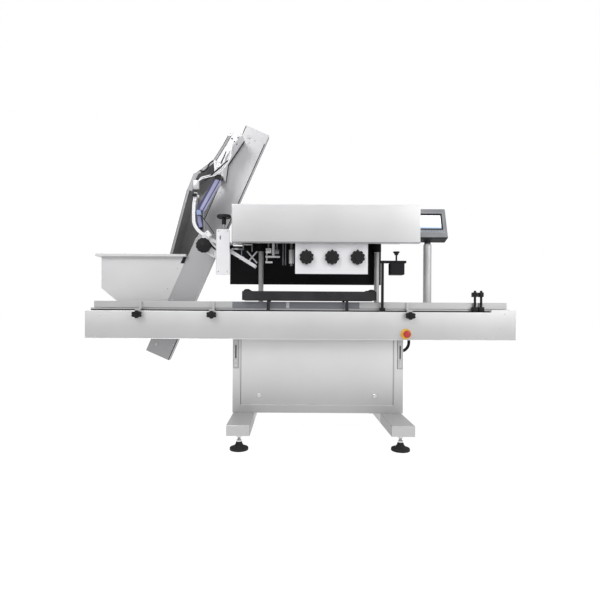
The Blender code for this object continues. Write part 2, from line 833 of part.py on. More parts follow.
def guide_rail(machine, name, side):
    """A guide rail on posts clamped to the skirt; side is -1 in front and 1 behind."""
    near = LINE_Y + side * RAIL_OFFSET
    far = near + side * RAIL_THICKNESS
    half = CONVEYOR_LENGTH / 2 - 0.03
    top = RAIL_BOTTOM + RAIL_HEIGHT
    rail = box(
        (-half, min(near, far), RAIL_BOTTOM), (half, max(near, far), top), bevel=0.002
    )
    skirt_face = FRONT_SKIRT_Y if side < 0 else REAR_SKIRT_Y
    pieces = []
    cuts = []
    for x in RAIL_STATIONS:
        outer = skirt_face + side * (0.009 + GAP)
        inner = skirt_face + side * GAP
        pieces.append(
            prism(
                rounded_box_outline(
                    (x - CLAMP_HALF_WIDTH, GUIDE_KNOB_HEIGHT - 0.015),
                    (x + CLAMP_HALF_WIDTH, SKIRT_TOP + 0.012), 0.006, 2,
                ),
                "Y", min(inner, outer), max(inner, outer),
            )
        )
        pieces.append(
            box((x - 0.007, min(far - side * 0.001, outer), SKIRT_TOP + 0.0065),
                (x + 0.007, max(far - side * 0.001, outer), SKIRT_TOP + 0.0115))
        )
        pieces.append(
            box((x - 0.007, min(far - side * 0.001, far + side * 0.011), SKIRT_TOP + 0.0075),
                (x + 0.007, max(far - side * 0.001, far + side * 0.011), top - 0.002))
        )
        if side < 0:
            cuts.append(
                rod("Y", (x, 0, GUIDE_KNOB_HEIGHT), 0.004 + SHAFT_GAP,
                    outer - 0.02, inner + 0.02, SMALL_STEPS)
            )
    if side < 0:
        for x in SENSORS_X:
            y = far - 0.014
            pieces.append(
                box((x - 0.014, y - 0.010, SKIRT_TOP + GAP),
                    (x + 0.014, far + 0.001, SKIRT_TOP + 0.030))
            )
            pieces.append(rod("Z", (x, y, 0), 0.006, SKIRT_TOP + 0.02, 0.850, 12))
            pieces.append(
                box((x - 0.011, y - 0.010, 0.815), (x + 0.011, y + 0.025, 0.840), bevel=0.003)
            )
    node(name, "stainless", machine, [rail] + pieces, cuts=cuts)


def guide_knobs(machine):
    """Star knobs that clamp the front rail's posts."""
    for index, x in enumerate(RAIL_STATIONS):
        face = FRONT_SKIRT_Y - 0.009 - 2 * GAP
        star = prism(
            lobed_outline((x, GUIDE_KNOB_HEIGHT), GUIDE_KNOB_RADIUS, 6, 0.005, 4), "Y",
            face - 0.026, face - 0.010,
        )
        hub = turned(
            [(0, face - 0.030), (0.007, face - 0.030), (0.0095, face - 0.026),
             (0.0095, face), (0.004, face), (0.004, face + 0.008), (0, face + 0.008)],
            "Y", (x, 0, GUIDE_KNOB_HEIGHT), SMALL_STEPS,
        )
        node(f"guide_knob_{index + 1}", "black_plastic", machine, [star, hub],
             origin=(x, face, GUIDE_KNOB_HEIGHT))


def gripper(machine, name, side):
    """A bottle gripper: a belt round two pulleys, on posts from the skirt."""
    inner = LINE_Y + side * BOTTLE_RADIUS
    outer = inner + side * GRIPPER_WIDTH
    middle = (inner + outer) / 2
    radius = GRIPPER_WIDTH / 2
    outline = arc((GRIPPER_RIGHT, middle), radius, -90, 90, 10)
    outline += arc((GRIPPER_LEFT, middle), radius, 90, 270, 10)
    belt = prism(outline, "Z", GRIPPER_BOTTOM, GRIPPER_BOTTOM + GRIPPER_HEIGHT)
    shafts = []
    for x in (GRIPPER_LEFT, GRIPPER_RIGHT):
        shafts.append(
            turned(
                [(0, GRIPPER_BOTTOM + 0.03), (0.020, GRIPPER_BOTTOM + 0.03),
                 (0.020, GRIPPER_BOTTOM + GRIPPER_HEIGHT + 0.006),
                 (0.010, GRIPPER_BOTTOM + GRIPPER_HEIGHT + 0.012),
                 (0, GRIPPER_BOTTOM + GRIPPER_HEIGHT + 0.012)],
                "Z", (x, middle, 0), 20,
            )
        )
    face = FRONT_SKIRT_Y if side < 0 else REAR_SKIRT_Y
    posts = []
    for x in (-0.18, 0.26):
        post = (x, face - side * 0.011, 0)
        posts.append(rod("Z", post, 0.008, SKIRT_TOP + GAP, GRIPPER_BOTTOM + 0.01, SMALL_STEPS))
        posts.append(rod("Z", post, 0.0105, SKIRT_TOP + GAP, SKIRT_TOP + 0.012, SMALL_STEPS))
    node(name, "rubber", machine, [belt] + shafts + posts)


# Capping head


def stations():
    return [STATION_MIDDLE + offset * STATION_PITCH for offset in (-1, 0, 1)]


def head_frame(head):
    """The deck, its back plate, the spindle blocks, column bosses and side arms."""
    deck_top = DECK_BOTTOM + DECK_THICKNESS
    clearance = 0.0005
    deck = box(
        (HOOD_LEFT + HOOD_SHEET + clearance, HOOD_FRONT + HOOD_SHEET + clearance, DECK_BOTTOM),
        (HOOD_RIGHT - HOOD_SHEET - clearance, DECK_REAR, deck_top),
    )
    back = box(
        (BACK_PLATE_LEFT, DECK_REAR - BACK_PLATE_THICKNESS, BACK_PLATE_BOTTOM),
        (BACK_PLATE_RIGHT, DECK_REAR - 0.0005, DECK_BOTTOM - 0.020),
    )
    web = box(
        (HOOD_LEFT + 0.02, DECK_REAR - BACK_PLATE_THICKNESS + 0.0005, DECK_BOTTOM - 0.040),
        (BACK_PLATE_RIGHT - 0.01, DECK_REAR - 0.001, DECK_BOTTOM + 0.002),
    )
    pieces = [back, web]
    cuts = []
    for x in stations():
        for side in (-1, 1):
            y = LINE_Y + side * WHEEL_OFFSET
            half = BLOCK_SIDE / 2
            pieces.append(
                box((x - half, y - half, BLOCK_BOTTOM), (x + half, y + half, DECK_BOTTOM + 0.002),
                    bevel=0.002)
            )
            cuts.append(
                rod("Z", (x, y, 0), SPINDLE_RADIUS + SHAFT_GAP, 1.0, deck_top + 0.02, SMALL_STEPS)
            )
    for x in (LEFT_COLUMN_X, RIGHT_COLUMN_X):
        pieces.append(
            rod("Z", (x, COLUMN_Y, 0), 0.028, DECK_BOTTOM - 0.060, DECK_BOTTOM + 0.002, 24)
        )
        cuts.append(
            rod("Z", (x, COLUMN_Y, 0), COLUMN_RADIUS + SHAFT_GAP, 1.0, DECK_BOTTOM, ROUND_STEPS)
        )
    arm_front = POST_FRONT + POST_THICKNESS + GAP
    pieces.append(
        box((SCREW_X - 0.017, arm_front, 1.133), (SCREW_X + 0.017, DECK_REAR - 0.005, 1.1435),
            bevel=0.002)
    )
    cuts.append(
        rod("Z", (SCREW_X, SCREW_Y, 0), SCREW_RADIUS + SHAFT_GAP, 1.10, 1.16, 16)
    )
    cover_face = ELEVATOR_DEPTH + GAP + COVER_THICKNESS + GAP
    pieces.append(
        prism(
            [(BACK_PLATE_LEFT + 0.02, 1.095), (BACK_PLATE_LEFT + 0.02, 1.140),
             elevator_edge(1.140, cover_face), elevator_edge(1.095, cover_face)],
            "Y", 0.030, 0.0745,
        )
    )
    node("head_frame", "black_paint", head, [deck] + pieces, cuts=cuts)


def elevator_edge(height, across):
    """X and Z at a height on a line that runs along the elevator, so far across it."""
    x = ELEVATOR_X + across * math.cos(ELEVATOR_TILT)
    z = ELEVATOR_Z - across * math.sin(ELEVATOR_TILT)
    return (x + (height - z) * math.tan(ELEVATOR_TILT), height)


def lift_columns(head):
    """Two chromed columns joined by the crosshead that the jack lifts."""
    columns = [
        rod("Z", (x, COLUMN_Y, 0), COLUMN_RADIUS, COLUMN_FOOT, DECK_BOTTOM - GAP)
        for x in (LEFT_COLUMN_X, RIGHT_COLUMN_X)
    ]
    crosshead = box(
        (LEFT_COLUMN_X - 0.03, COLUMN_Y - 0.025, COLUMN_FOOT + 0.02),
        (RIGHT_COLUMN_X + 0.03, COLUMN_Y + 0.025, COLUMN_FOOT + 0.045),
        bevel=0.002,
    )
    node("lift_columns", "chrome", head, [crosshead] + columns)


def hood(head):
    """The stainless hood: open below and behind, its sides cut to rise to the rear."""
    side_profile = [
        (HOOD_FRONT, HOOD_BOTTOM),
        (HOOD_REAR, HOOD_BOTTOM + HOOD_REAR_RISE),
        (HOOD_REAR, HOOD_TOP),
        (HOOD_FRONT, HOOD_TOP),
    ]
    outside = rounded_path(
        [side_profile[0], side_profile[3], side_profile[2]], (HOOD_BEND,), 5
    )
    outer = prism(
        [tuple(p) for p in outside] + [side_profile[1]], "X", HOOD_LEFT, HOOD_RIGHT
    )
    inner = offset_path(outside, -HOOD_SHEET)
    inner[-1].x = HOOD_REAR - HOOD_SHEET
    cavity = prism(
        [(HOOD_FRONT + HOOD_SHEET, HOOD_BOTTOM - 0.05)] + [tuple(p) for p in inner]
        + [(HOOD_REAR - HOOD_SHEET, HOOD_BOTTOM - 0.05)],
        "X", HOOD_LEFT + HOOD_SHEET, HOOD_RIGHT - HOOD_SHEET,
    )
    lip = prism(
        bent_sheet(
            [
                (HOOD_FRONT + 0.0005, HOOD_BOTTOM + 0.012),
                (HOOD_FRONT + 0.0005, HOOD_BOTTOM + 0.0005),
                (HOOD_FRONT + HOOD_LIP, HOOD_BOTTOM + 0.0005),
                (HOOD_FRONT + HOOD_LIP, HOOD_BOTTOM + 0.010),
            ],
            HOOD_SHEET,
        ),
        "X", HOOD_LEFT + 0.0005, HOOD_RIGHT - 0.0005,
    )
    piece = node("hood", "stainless", head, [outer], cuts=[cavity])
    lip.name = "hood_lip"
    lip.parent = head
    boolean(piece, lip, "UNION")


def knob_plate(head):
    plate = box(
        (PLATE_LEFT, PLATE_FRONT, KNOB_HEIGHT - PLATE_BELOW_KNOBS),
        (PLATE_RIGHT, PLATE_FRONT + PLATE_THICKNESS, DECK_BOTTOM - GAP),
        bevel=0.001,
    )
    gussets = [
        box((x, PLATE_FRONT + 0.002, 1.09), (x + 0.006, PLATE_FRONT + 0.045, DECK_BOTTOM - GAP))
        for x in (PLATE_LEFT + 0.004, PLATE_RIGHT - 0.010)
    ]
    holes = [
        rod("Y", (x, 0, KNOB_HEIGHT), 0.006 + SHAFT_GAP, PLATE_FRONT - 0.01,
            PLATE_FRONT + PLATE_THICKNESS + 0.01, SMALL_STEPS)
        for x in stations()
    ]
    node("knob_plate", "stainless_pale", head, [plate] + gussets, cuts=holes)


def spindle_knobs(head):
    """Lobed adjusting knobs with a pointer above."""
    for index, x in enumerate(stations()):
        back = PLATE_FRONT - GAP
        grip = prism(
            lobed_outline((x, KNOB_HEIGHT), KNOB_RADIUS, 10, 0.006, 4), "Y",
            back - 0.004 - KNOB_DEPTH, back - 0.004,
        )
        face = back - 0.004 - KNOB_DEPTH
        hub = turned(
            [(0, face - 0.004), (0.012, face - 0.004), (0.016, face + 0.001), (0.016, back),
             (0.006, back), (0.006, back + 0.030), (0, back + 0.030)],
            "Y", (x, 0, KNOB_HEIGHT), SMALL_STEPS,
        )
        pointer = prism(
            [(x - 0.007, KNOB_HEIGHT + KNOB_RADIUS - 0.006),
             (x + 0.007, KNOB_HEIGHT + KNOB_RADIUS - 0.006),
             (x, KNOB_HEIGHT + KNOB_RADIUS + 0.005)],
            "Y", face + 0.006, back - 0.006,
        )
        node(f"spindle_knob_{index + 1}", "black_plastic", head, [grip, hub, pointer],
             origin=(x, back, KNOB_HEIGHT))


def capping_spindles(head):
    """Three pairs of rubber capping wheels on vertical spindles, with drive pulleys above."""
    deck_top = DECK_BOTTOM + DECK_THICKNESS
    for index, x in enumerate(stations()):
        for place, side in (("front", -1), ("rear", 1)):
            y = LINE_Y + side * WHEEL_OFFSET
            top = WHEEL_BOTTOM + WHEEL_HEIGHT
            spindle = turned(
                [
                    (0, WHEEL_BOTTOM - 0.006), (0.010, WHEEL_BOTTOM - 0.006),
                    (0.010, WHEEL_BOTTOM), (WHEEL_RADIUS - 0.002, WHEEL_BOTTOM),
                    (WHEEL_RADIUS, WHEEL_BOTTOM + 0.002), (WHEEL_RADIUS, top - 0.002),
                    (WHEEL_RADIUS - 0.002, top), (0.015, top), (0.015, top + 0.014),
                    (SPINDLE_RADIUS, top + 0.014), (SPINDLE_RADIUS, deck_top + GAP),
                    (PULLEY_RADIUS, deck_top + GAP), (PULLEY_RADIUS, deck_top + 0.018),
                    (0.012, deck_top + 0.018), (0.012, SPINDLE_TOP), (0, SPINDLE_TOP),
                ],
                "Z", (x, y, 0), 14,
            )
            node(f"capping_spindle_{place}_{index + 1}", "rubber", head, [spindle],
                 origin=(x, y, WHEEL_BOTTOM))


def head_gearmotor(head):
    deck_top = DECK_BOTTOM + DECK_THICKNESS + GAP
    case = box((0.42, -0.23, deck_top), (0.53, -0.11, deck_top + 0.085), bevel=0.006)
    motor = turned(
        [(0, -0.12), (0.036, -0.12), (0.036, 0.03), (0.040, 0.03), (0.040, 0.060),
         (0.034, 0.066), (0, 0.066)],
        "Y", (0.475, 0, deck_top + 0.045), 24,
    )
    node("head_gearmotor", "aluminium", head, [case, motor])


# Elevator and hopper


def elevator_casing(elevator):
    """Side plates, end plates and the slider bed under the belt."""
    sheet = ELEVATOR_SHEET
    outer = box((0, GUARD_WIDTH, 0), (ELEVATOR_DEPTH, ELEVATOR_WIDTH, ELEVATOR_LENGTH))
    room = box(
        (-0.02, GUARD_WIDTH + sheet, sheet),
        (ELEVATOR_DEPTH + 0.02, ELEVATOR_WIDTH - sheet, ELEVATOR_LENGTH - sheet),
    )
    guard = box((0.0002, 0, 0.0002), (GUARD_DEPTH, GUARD_WIDTH + 0.001, ELEVATOR_LENGTH - 0.0002))
    guard_room = box(
        (sheet, sheet, sheet),
        (GUARD_DEPTH - sheet, GUARD_WIDTH + 0.02, ELEVATOR_LENGTH - sheet),
    )
    boolean(guard, guard_room, "DIFFERENCE")
    bed_face = ELEVATOR_DEPTH / 2 - ROLLER_RADIUS + 0.0006
    bed = box(
        (bed_face, GUARD_WIDTH + sheet - 0.001, 0.160),
        (bed_face + 0.003, ELEVATOR_WIDTH - sheet + 0.001, ELEVATOR_LENGTH - 0.160),
    )
    bores = [
        rod("Y", (ELEVATOR_DEPTH / 2, 0, z), 0.0105, -0.02, ELEVATOR_WIDTH + 0.02, 20)
        for z in (ROLLER_INSET, ELEVATOR_LENGTH - ROLLER_INSET)
    ]
    piece = node("elevator_casing", "stainless", elevator, [outer], cuts=[room])
    guard_room.name = "elevator_guard_room"
    guard_room.parent = elevator
    for joined, name in ((bed, "elevator_bed"), (guard, "elevator_guard")):
        joined.name = name
        joined.parent = elevator
        boolean(piece, joined, "UNION")
    for index, bore in enumerate(bores):
        bore.name = f"elevator_bore_{index}"
        bore.parent = elevator
        boolean(piece, bore, "DIFFERENCE")


def elevator_back_cover(elevator):
    face = ELEVATOR_DEPTH + GAP
    near = GUARD_WIDTH + 0.001 + GAP
    tray = box((face, near, COVER_START), (face + COVER_THICKNESS, ELEVATOR_WIDTH, COVER_END))
    hollow = box(
        (face - 0.01, near + 0.004, COVER_START + 0.004),
        (face + COVER_THICKNESS - 0.002, ELEVATOR_WIDTH - 0.004, COVER_END - 0.004),
    )
    node("elevator_back_cover", "stainless", elevator, [tray], cuts=[hollow])


def elevator_belt(elevator):
    """The cleated belt round both rollers."""
    half = ELEVATOR_LENGTH / 2 - ROLLER_INSET
    pitch_radius = ROLLER_RADIUS + GAP
    length = 4 * half + math.tau * pitch_radius
    pitch = length / CLEAT_COUNT
    outline = []
    bend_steps = 8
    cleat = 0.004
    straight = 2 * half
    bend = math.pi * pitch_radius
    for index in range(CLEAT_COUNT):
        start = index * pitch + pitch / 2
        for along, height in (
            (0, BELT_THICKNESS), (0, BELT_THICKNESS + CLEAT_HEIGHT),
            (cleat, BELT_THICKNESS + CLEAT_HEIGHT), (cleat + 0.002, BELT_THICKNESS),
        ):
            outline.append(point_on_loop(start + along, half, pitch_radius, height))
        for step in range(1, 7):
            place = start + 0.006 + (pitch - 0.006) * step / 7
            past_straight = place % (straight + bend) - straight
            if past_straight > -pitch / 7:
                outline.append(point_on_loop(place, half, pitch_radius, BELT_THICKNESS))
    centre = Vector((ELEVATOR_DEPTH / 2, ELEVATOR_LENGTH / 2))
    outer = prism(
        [(centre.x + p.y, centre.y + p.x) for p in outline], "Y",
        GUARD_WIDTH + 0.012, ELEVATOR_WIDTH - 0.012,
    )
    inner = loop_outline(half, pitch_radius, bend_steps)
    hollow = prism(
        [(centre.x + z, centre.y + x) for x, z in inner], "Y", -0.02, ELEVATOR_WIDTH + 0.02
    )
    node("elevator_belt", "belt_white", elevator, [outer], cuts=[hollow])


def elevator_rollers(elevator):
    radius = ROLLER_RADIUS * math.cos(math.pi / 8) - GAP
    for name, z in (
        ("elevator_bottom_roller", ROLLER_INSET),
        ("elevator_top_roller", ELEVATOR_LENGTH - ROLLER_INSET),
    ):
        drum = turned(
            [(0, -0.004), (0.010, -0.004), (0.010, GUARD_WIDTH + 0.010),
             (radius, GUARD_WIDTH + 0.010), (radius, ELEVATOR_WIDTH - 0.010),
             (0.010, ELEVATOR_WIDTH - 0.010), (0.010, ELEVATOR_WIDTH + 0.004),
             (0, ELEVATOR_WIDTH + 0.004)],
            "Y", (ELEVATOR_DEPTH / 2, 0, z), 20,
        )
        node(name, "stainless", elevator, [drum], origin=(ELEVATOR_DEPTH / 2, 0, z))


def elevator_front_cover(head):
    """The bent cover over the cap lane, closed on its far side."""
    near, far = ELEVATOR_Y, ELEVATOR_Y + ELEVATOR_WIDTH
    path = [
        (-0.784, 1.071), (-0.684, 1.456), (-0.644, 1.552), (-0.608, 1.576),
        (-0.508, 1.649), (-0.463, 1.740), (-0.427, 1.806),
    ]
    cover = prism(bent_sheet(path, -0.003), "Y", near, far)
    lane = [tuple(p) for p in offset_path(path, -0.001)]
    top = elevator_edge(1.825, -0.0006)
    low = elevator_edge(1.074, -0.0006)
    wall = prism(lane + [top, low], "Y", far - 0.003, far - 0.0002)
    node("elevator_front_cover", "stainless", head, [cover, wall])


def hopper(head):
    """The cap hopper: a sheet box with a sloped floor, open above and to the belt."""
    near, far = ELEVATOR_Y - 0.002, ELEVATOR_Y + ELEVATOR_WIDTH + 0.002
    sheet = HOPPER_SHEET
    right_top = elevator_edge(HOPPER_TOP, -GAP)
    right_low = elevator_edge(HOPPER_LOW, -GAP)
    floor_left = (HOPPER_LEFT, HOPPER_KNEE)
    outside = [(HOPPER_LEFT, HOPPER_TOP), floor_left, right_low, right_top]
    outer = prism(outside, "Y", near, far)
    left_path = offset_path([(HOPPER_LEFT, HOPPER_TOP + 0.1), floor_left,
                             (right_low[0], HOPPER_LOW)], sheet)
    floor_end = left_path[-1]
    slope = (floor_end - left_path[1]).normalized()
    cavity = prism(
        [tuple(left_path[0]), tuple(left_path[1]), tuple(floor_end + slope * 0.05),
         (right_top[0] + 0.15, HOPPER_TOP + 0.1)],
        "Y", near + sheet, far - sheet,
    )
    top_low, top_high = HOPPER_TOP - 0.004, HOPPER_TOP + 0.011
    flange = box(
        (HOPPER_LEFT - HOPPER_FLANGE, near - HOPPER_FLANGE, top_low),
        (right_top[0] - 0.003, far + HOPPER_FLANGE, top_high),
        bevel=0.0015,
    )
    mouth = box(
        (HOPPER_LEFT + 0.0005, near + 0.0005, top_low - 0.02),
        (right_top[0] + 0.05, far - 0.0005, top_high + 0.02),
    )
    piece = node("hopper", "stainless", head, [outer], cuts=[cavity])
    boolean(flange, mouth, "DIFFERENCE")
    mouth.parent = head
    flange.parent = head
    flange.name = "hopper_flange"
    boolean(piece, flange, "UNION")


def chute_head(head):
    """The duct that takes caps from the lane to the top of the chute."""
    near, far = -0.2475, ELEVATOR_Y - GAP
    left_side = [(-0.4075, 1.749), (-0.4415, 1.686), (-0.499, 1.594), (-0.494, CHUTE_HEAD_BOTTOM)]
    right_side = [(-0.448, CHUTE_HEAD_BOTTOM), (-0.434, 1.604), (-0.338, 1.749)]
    outer = prism(left_side + right_side, "Y", near, far)
    sheet = 0.003
    hollow = extended(offset_path(left_side, sheet), 0.010)
    hollow += extended(offset_path(right_side, sheet), 0.010)
    inner = prism([tuple(p) for p in hollow], "Y", near + sheet, far + 0.02)
    node("chute_head", "stainless_pale", head, [outer], cuts=[inner])


# Chute, its slide and handwheel


def chute_path():
    return rounded_path(
        [(-0.610, 1.406), (-0.621, 1.330), (-0.622, 1.196), (-0.262, 0.976)],
        (0.150, 0.105), 6,
    )


def chute(slide):
    """The C-shaped cap chute: a channel with its floor outside, a back plate and bracket."""
    path = chute_path()
    outer = prism(bent_sheet(path, CHUTE_DEPTH), "Y", CHUTE_NEAR, CHUTE_FAR)
    floor = offset_path(extended(path, 0.02), CHUTE_WALL)
    channel = [tuple(p) for p in floor]
    channel += [tuple(p) for p in reversed(offset_path(floor, CHUTE_DEPTH + 0.02))]
    hollow = prism(channel, "Y", CHUTE_NEAR + CHUTE_WALL, CHUTE_FAR - CHUTE_WALL)
    back = prism(
        [(-0.610, 1.385), (-0.592, 1.388), (-0.486, 1.492), (-0.462, 1.478), (-0.566, 1.300),
         (-0.562, 1.215), (-0.540, 1.170), (-0.604, 1.190), (-0.612, 1.300)],
        "Y", CHUTE_FAR - 0.001, CHUTE_FAR + 0.003,
    )
    block = box(
        (SCREW_X - 0.030, POST_FRONT + POST_THICKNESS + GAP, 1.020),
        (SCREW_X + 0.030, CHUTE_NEAR + 0.001, 1.062), bevel=0.002,
    )
    bracket = prism(
        [(-0.580, 1.120), (-0.548, 1.176), (-0.512, 1.158), (-0.500, 1.112), (-0.440, 1.062),
         (-0.440, 1.022), (-0.470, 1.024), (-0.555, 1.070)],
        "Y", CHUTE_NEAR - 0.005, CHUTE_NEAR + 0.001,
    )
    bores = [
        rod("Z", (SCREW_X, SCREW_Y, 0), SCREW_RADIUS + SHAFT_GAP, 0.98, 1.09, 20),
        rod("Y", (CHUTE_KNOB_X, 0, CHUTE_KNOB_Z), 0.005 + SHAFT_GAP, -0.27, -0.23, SMALL_STEPS),
    ]
    piece = node("chute_channel", "stainless_pale", slide, [outer], cuts=[hollow])
    for index, joined in enumerate((back, block, bracket)):
        joined.name = f"chute_joined_{index}"
        joined.parent = slide
        boolean(piece, joined, "UNION")
    for index, bore in enumerate(bores):
        bore.name = f"chute_bore_{index}"
        bore.parent = slide
        boolean(piece, bore, "DIFFERENCE")


def chute_strip(slide):
    """The film-covered keeper strip on the chute's inner side."""
    top = CHUTE_HEAD_BOTTOM - CHUTE_RAISE - RAISED_CLEARANCE
    path = rounded_path([(-0.493, top), (-0.594, 1.315), (-0.588, 1.205)], (0.06,), 4)
    strip = prism(bent_sheet(path, 0.022), "Y", CHUTE_NEAR + 0.004, CHUTE_FAR - CHUTE_WALL - GAP)
    node("chute_strip", "blue_film", slide, [strip])


def chute_knob(slide):
    back = CHUTE_NEAR - 0.005 - GAP
    grip = prism(
        lobed_outline((CHUTE_KNOB_X, CHUTE_KNOB_Z), CHUTE_KNOB_RADIUS, 12, 0.003, 4), "Y",
        back - 0.030, back - 0.008, bevel=0.003,
    )
    hub = turned(
        [(0, back - 0.033), (0.011, back - 0.033), (0.014, back - 0.030), (0.014, back),
         (0.005, back), (0.005, back + 0.010), (0, back + 0.010)],
        "Y", (CHUTE_KNOB_X, 0, CHUTE_KNOB_Z), 20,
    )
    node("chute_knob", "black_plastic", slide, [grip, hub],
         origin=(CHUTE_KNOB_X, back, CHUTE_KNOB_Z))


def chute_post(head):
    plate = prism(
        rounded_box_outline((POST_LEFT, POST_BOTTOM), (POST_RIGHT, POST_TOP), 0.006, 2), "Y",
        POST_FRONT, POST_FRONT + POST_THICKNESS,
    )
    slot = prism(
        rounded_box_outline((-0.455, 1.127), (-0.447, 1.150), 0.0035, 3), "Y",
        POST_FRONT - 0.01, POST_FRONT + POST_THICKNESS + 0.01,
    )
    node("chute_post", "stainless_pale", head, [plate], cuts=[slot])


def chute_handwheel(head):
    """The handwheel and its vertical screw."""
    low = HANDWHEEL_HEIGHT - 0.010
    wheel = turned(
        [(0, 0.955), (SCREW_RADIUS, 0.955), (SCREW_RADIUS, 1.212), (0.013, 1.214),
         (0.013, low), (HANDWHEEL_RADIUS - 0.004, low), (HANDWHEEL_RADIUS, low + 0.004),
         (HANDWHEEL_RADIUS, low + 0.014), (HANDWHEEL_RADIUS - 0.004, low + 0.018),
         (0.030, low + 0.014), (0.012, low + 0.014), (0.012, low + 0.020), (0, low + 0.020)],
        "Z", (SCREW_X, SCREW_Y, 0), FINE_STEPS,
    )
    node("chute_handwheel", "black_plastic", head, [wheel], origin=(SCREW_X, SCREW_Y, low))


# Touch panel, stop button and stands


def hmi_post(machine):
    post = turned(
        [(0, SKIRT_BOTTOM + 0.02), (HMI_POST_RADIUS, SKIRT_BOTTOM + 0.02),
         (HMI_POST_RADIUS, HMI_POST_TOP - 0.010), (HMI_POST_RADIUS - 0.003, HMI_POST_TOP - 0.003),
         (HMI_POST_RADIUS - 0.010, HMI_POST_TOP), (0, HMI_POST_TOP)],
        "Z", (HMI_POST_X, HMI_POST_Y, 0),
    )
    clamps = [
        box(
            (HMI_POST_X - 0.032, REAR_SKIRT_Y + GAP, low),
            (HMI_POST_X + 0.032, HMI_POST_Y + 0.030, low + 0.026),
            bevel=0.003,
        )
        for low in (SKIRT_BOTTOM + 0.030, SKIRT_TOP - 0.030)
    ]
    node("hmi_post", "chrome", machine, [post] + clamps)


def hmi_housing(swivel):
    """The tilted panel housing on its short swivel stub."""
    bottom_front = Vector((0, -0.055, 0.0270))
    half = HMI_WIDTH / 2
    case = box((-half, 0, 0), (half, HMI_DEPTH, HMI_HEIGHT), bevel=0.005, bevel_steps=2)
    case.data.transform(
        Matrix.Translation(bottom_front) @ Matrix.Rotation(-HMI_TILT, 4, "X")
    )
    window = box((-0.064, -0.02, 0.057), (0.064, 0.0025, 0.149))
    window.data.transform(
        Matrix.Translation(bottom_front) @ Matrix.Rotation(-HMI_TILT, 4, "X")
    )
    stub = rod("Z", (0, 0, 0), 0.018, GAP, 0.034, 20)
    node("hmi_housing", "grey_plastic", swivel, [case, stub], cuts=[window])


def stop_button(machine):
    face = FRONT_SKIRT_Y - GAP
    collar = turned(
        [(0.0075 + SHAFT_GAP, face), (0.0295, face), (0.0295, face - 0.003),
         (0.017, face - 0.014), (0.0075 + SHAFT_GAP, face - 0.014)],
        "Y", (STOP_X, 0, STOP_Z), ROUND_STEPS, ring=True,
    )
    node("stop_collar", "signal_yellow", machine, [collar])
    seat = face - 0.014 - STOP_TRAVEL - GAP
    button = turned(
        [(0, face - 0.005), (0.0075, face - 0.005), (0.0075, seat), (0.018, seat),
         (STOP_RADIUS, seat - 0.003), (STOP_RADIUS, seat - 0.010),
         (STOP_RADIUS - 0.003, seat - 0.015), (0.010, seat - 0.018), (0, seat - 0.0185)],
        "Y", (STOP_X, 0, STOP_Z), ROUND_STEPS,
    )
    node("stop_button", "signal_red", machine, [button], origin=(STOP_X, seat, STOP_Z))


def sensor_stand(machine):
    """The height-adjusted stand at the outfeed side of the head, with its clamp block."""
    rod_place = (STAND_ROD_X, STAND_Y, 0)
    upright = rod("Z", rod_place, 0.008, SKIRT_TOP + GAP, STAND_TOP + 0.006, SMALL_STEPS)
    foot = box(
        (STAND_ROD_X - 0.012, STAND_Y - 0.010, SKIRT_TOP + GAP),
        (STAND_ROD_X + 0.012, STAND_Y + 0.010, SKIRT_TOP + 0.022), bevel=0.002,
    )
    bar = box(
        (STAND_ROD_X - 0.012, STAND_Y - 0.012, STAND_TOP),
        (0.590, STAND_Y + 0.012, STAND_TOP + 0.014), bevel=0.002,
    )
    block = box(
        (0.500, STAND_Y - 0.020, 0.935), (0.578, STAND_Y + 0.040, STAND_TOP + 0.002), bevel=0.003
    )
    bore = rod("Z", (STAND_X, STAND_Y, 0), 0.005 + SHAFT_GAP, 0.985, 1.03, SMALL_STEPS)
    node("sensor_stand", "black_paint", machine, [bar, upright, foot, block], cuts=[bore])
    screw = turned(
        [(0, 0.990), (0.005, 0.990), (0.005, 1.045), (0.011, 1.047), (0.011, 1.060), (0, 1.060)],
        "Z", (STAND_X, STAND_Y, 0), SMALL_STEPS,
    )
    wings = prism(
        rounded_path(
            [(STAND_X - 0.020, 1.064), (STAND_X - 0.008, 1.050), (STAND_X + 0.008, 1.050),
             (STAND_X + 0.020, 1.064)], (0.006, 0.006), 3,
        )
        + [Vector((STAND_X + 0.012, 1.067)), Vector((STAND_X - 0.012, 1.067))],
        "Y", STAND_Y - 0.003, STAND_Y + 0.003,
    )
    node("stand_wing_knob", "black_plastic", machine, [screw, wings],
         origin=(STAND_X, STAND_Y, 1.045))


def cable_conduit(machine):
    """The short conduit from under the conveyor into the cabinet's side."""
    curve = bpy.data.curves.new("cable_conduit", "CURVE")
    curve.dimensions = "3D"
    curve.bevel_depth = 0.009
    curve.bevel_resolution = 2
    curve.use_fill_caps = True
    bend = 0.052
    low = CONDUIT_HEIGHT
    points = [(CABINET_RIGHT + GAP, low)]
    points += arc((CABINET_RIGHT + 0.004, low + bend), bend, -90, 0, 8)
    start = REAR_SKIRT_Y - SKIRT_LEG / 2
    spline = curve.splines.new("POLY")
    spline.points.add(len(points))
    for point, (x, z) in zip(spline.points, points):
        point.co = (x, start, z, 1)
    last = points[-1]
    spline.points[len(points)].co = (last[0], start, SKIRT_BOTTOM - GAP, 1)
    conduit = bpy.data.objects.new("cable_conduit", curve)
    bpy.context.scene.collection.objects.link(conduit)
    conduit.parent = machine
    curve.materials.append(finish("black_plastic"))


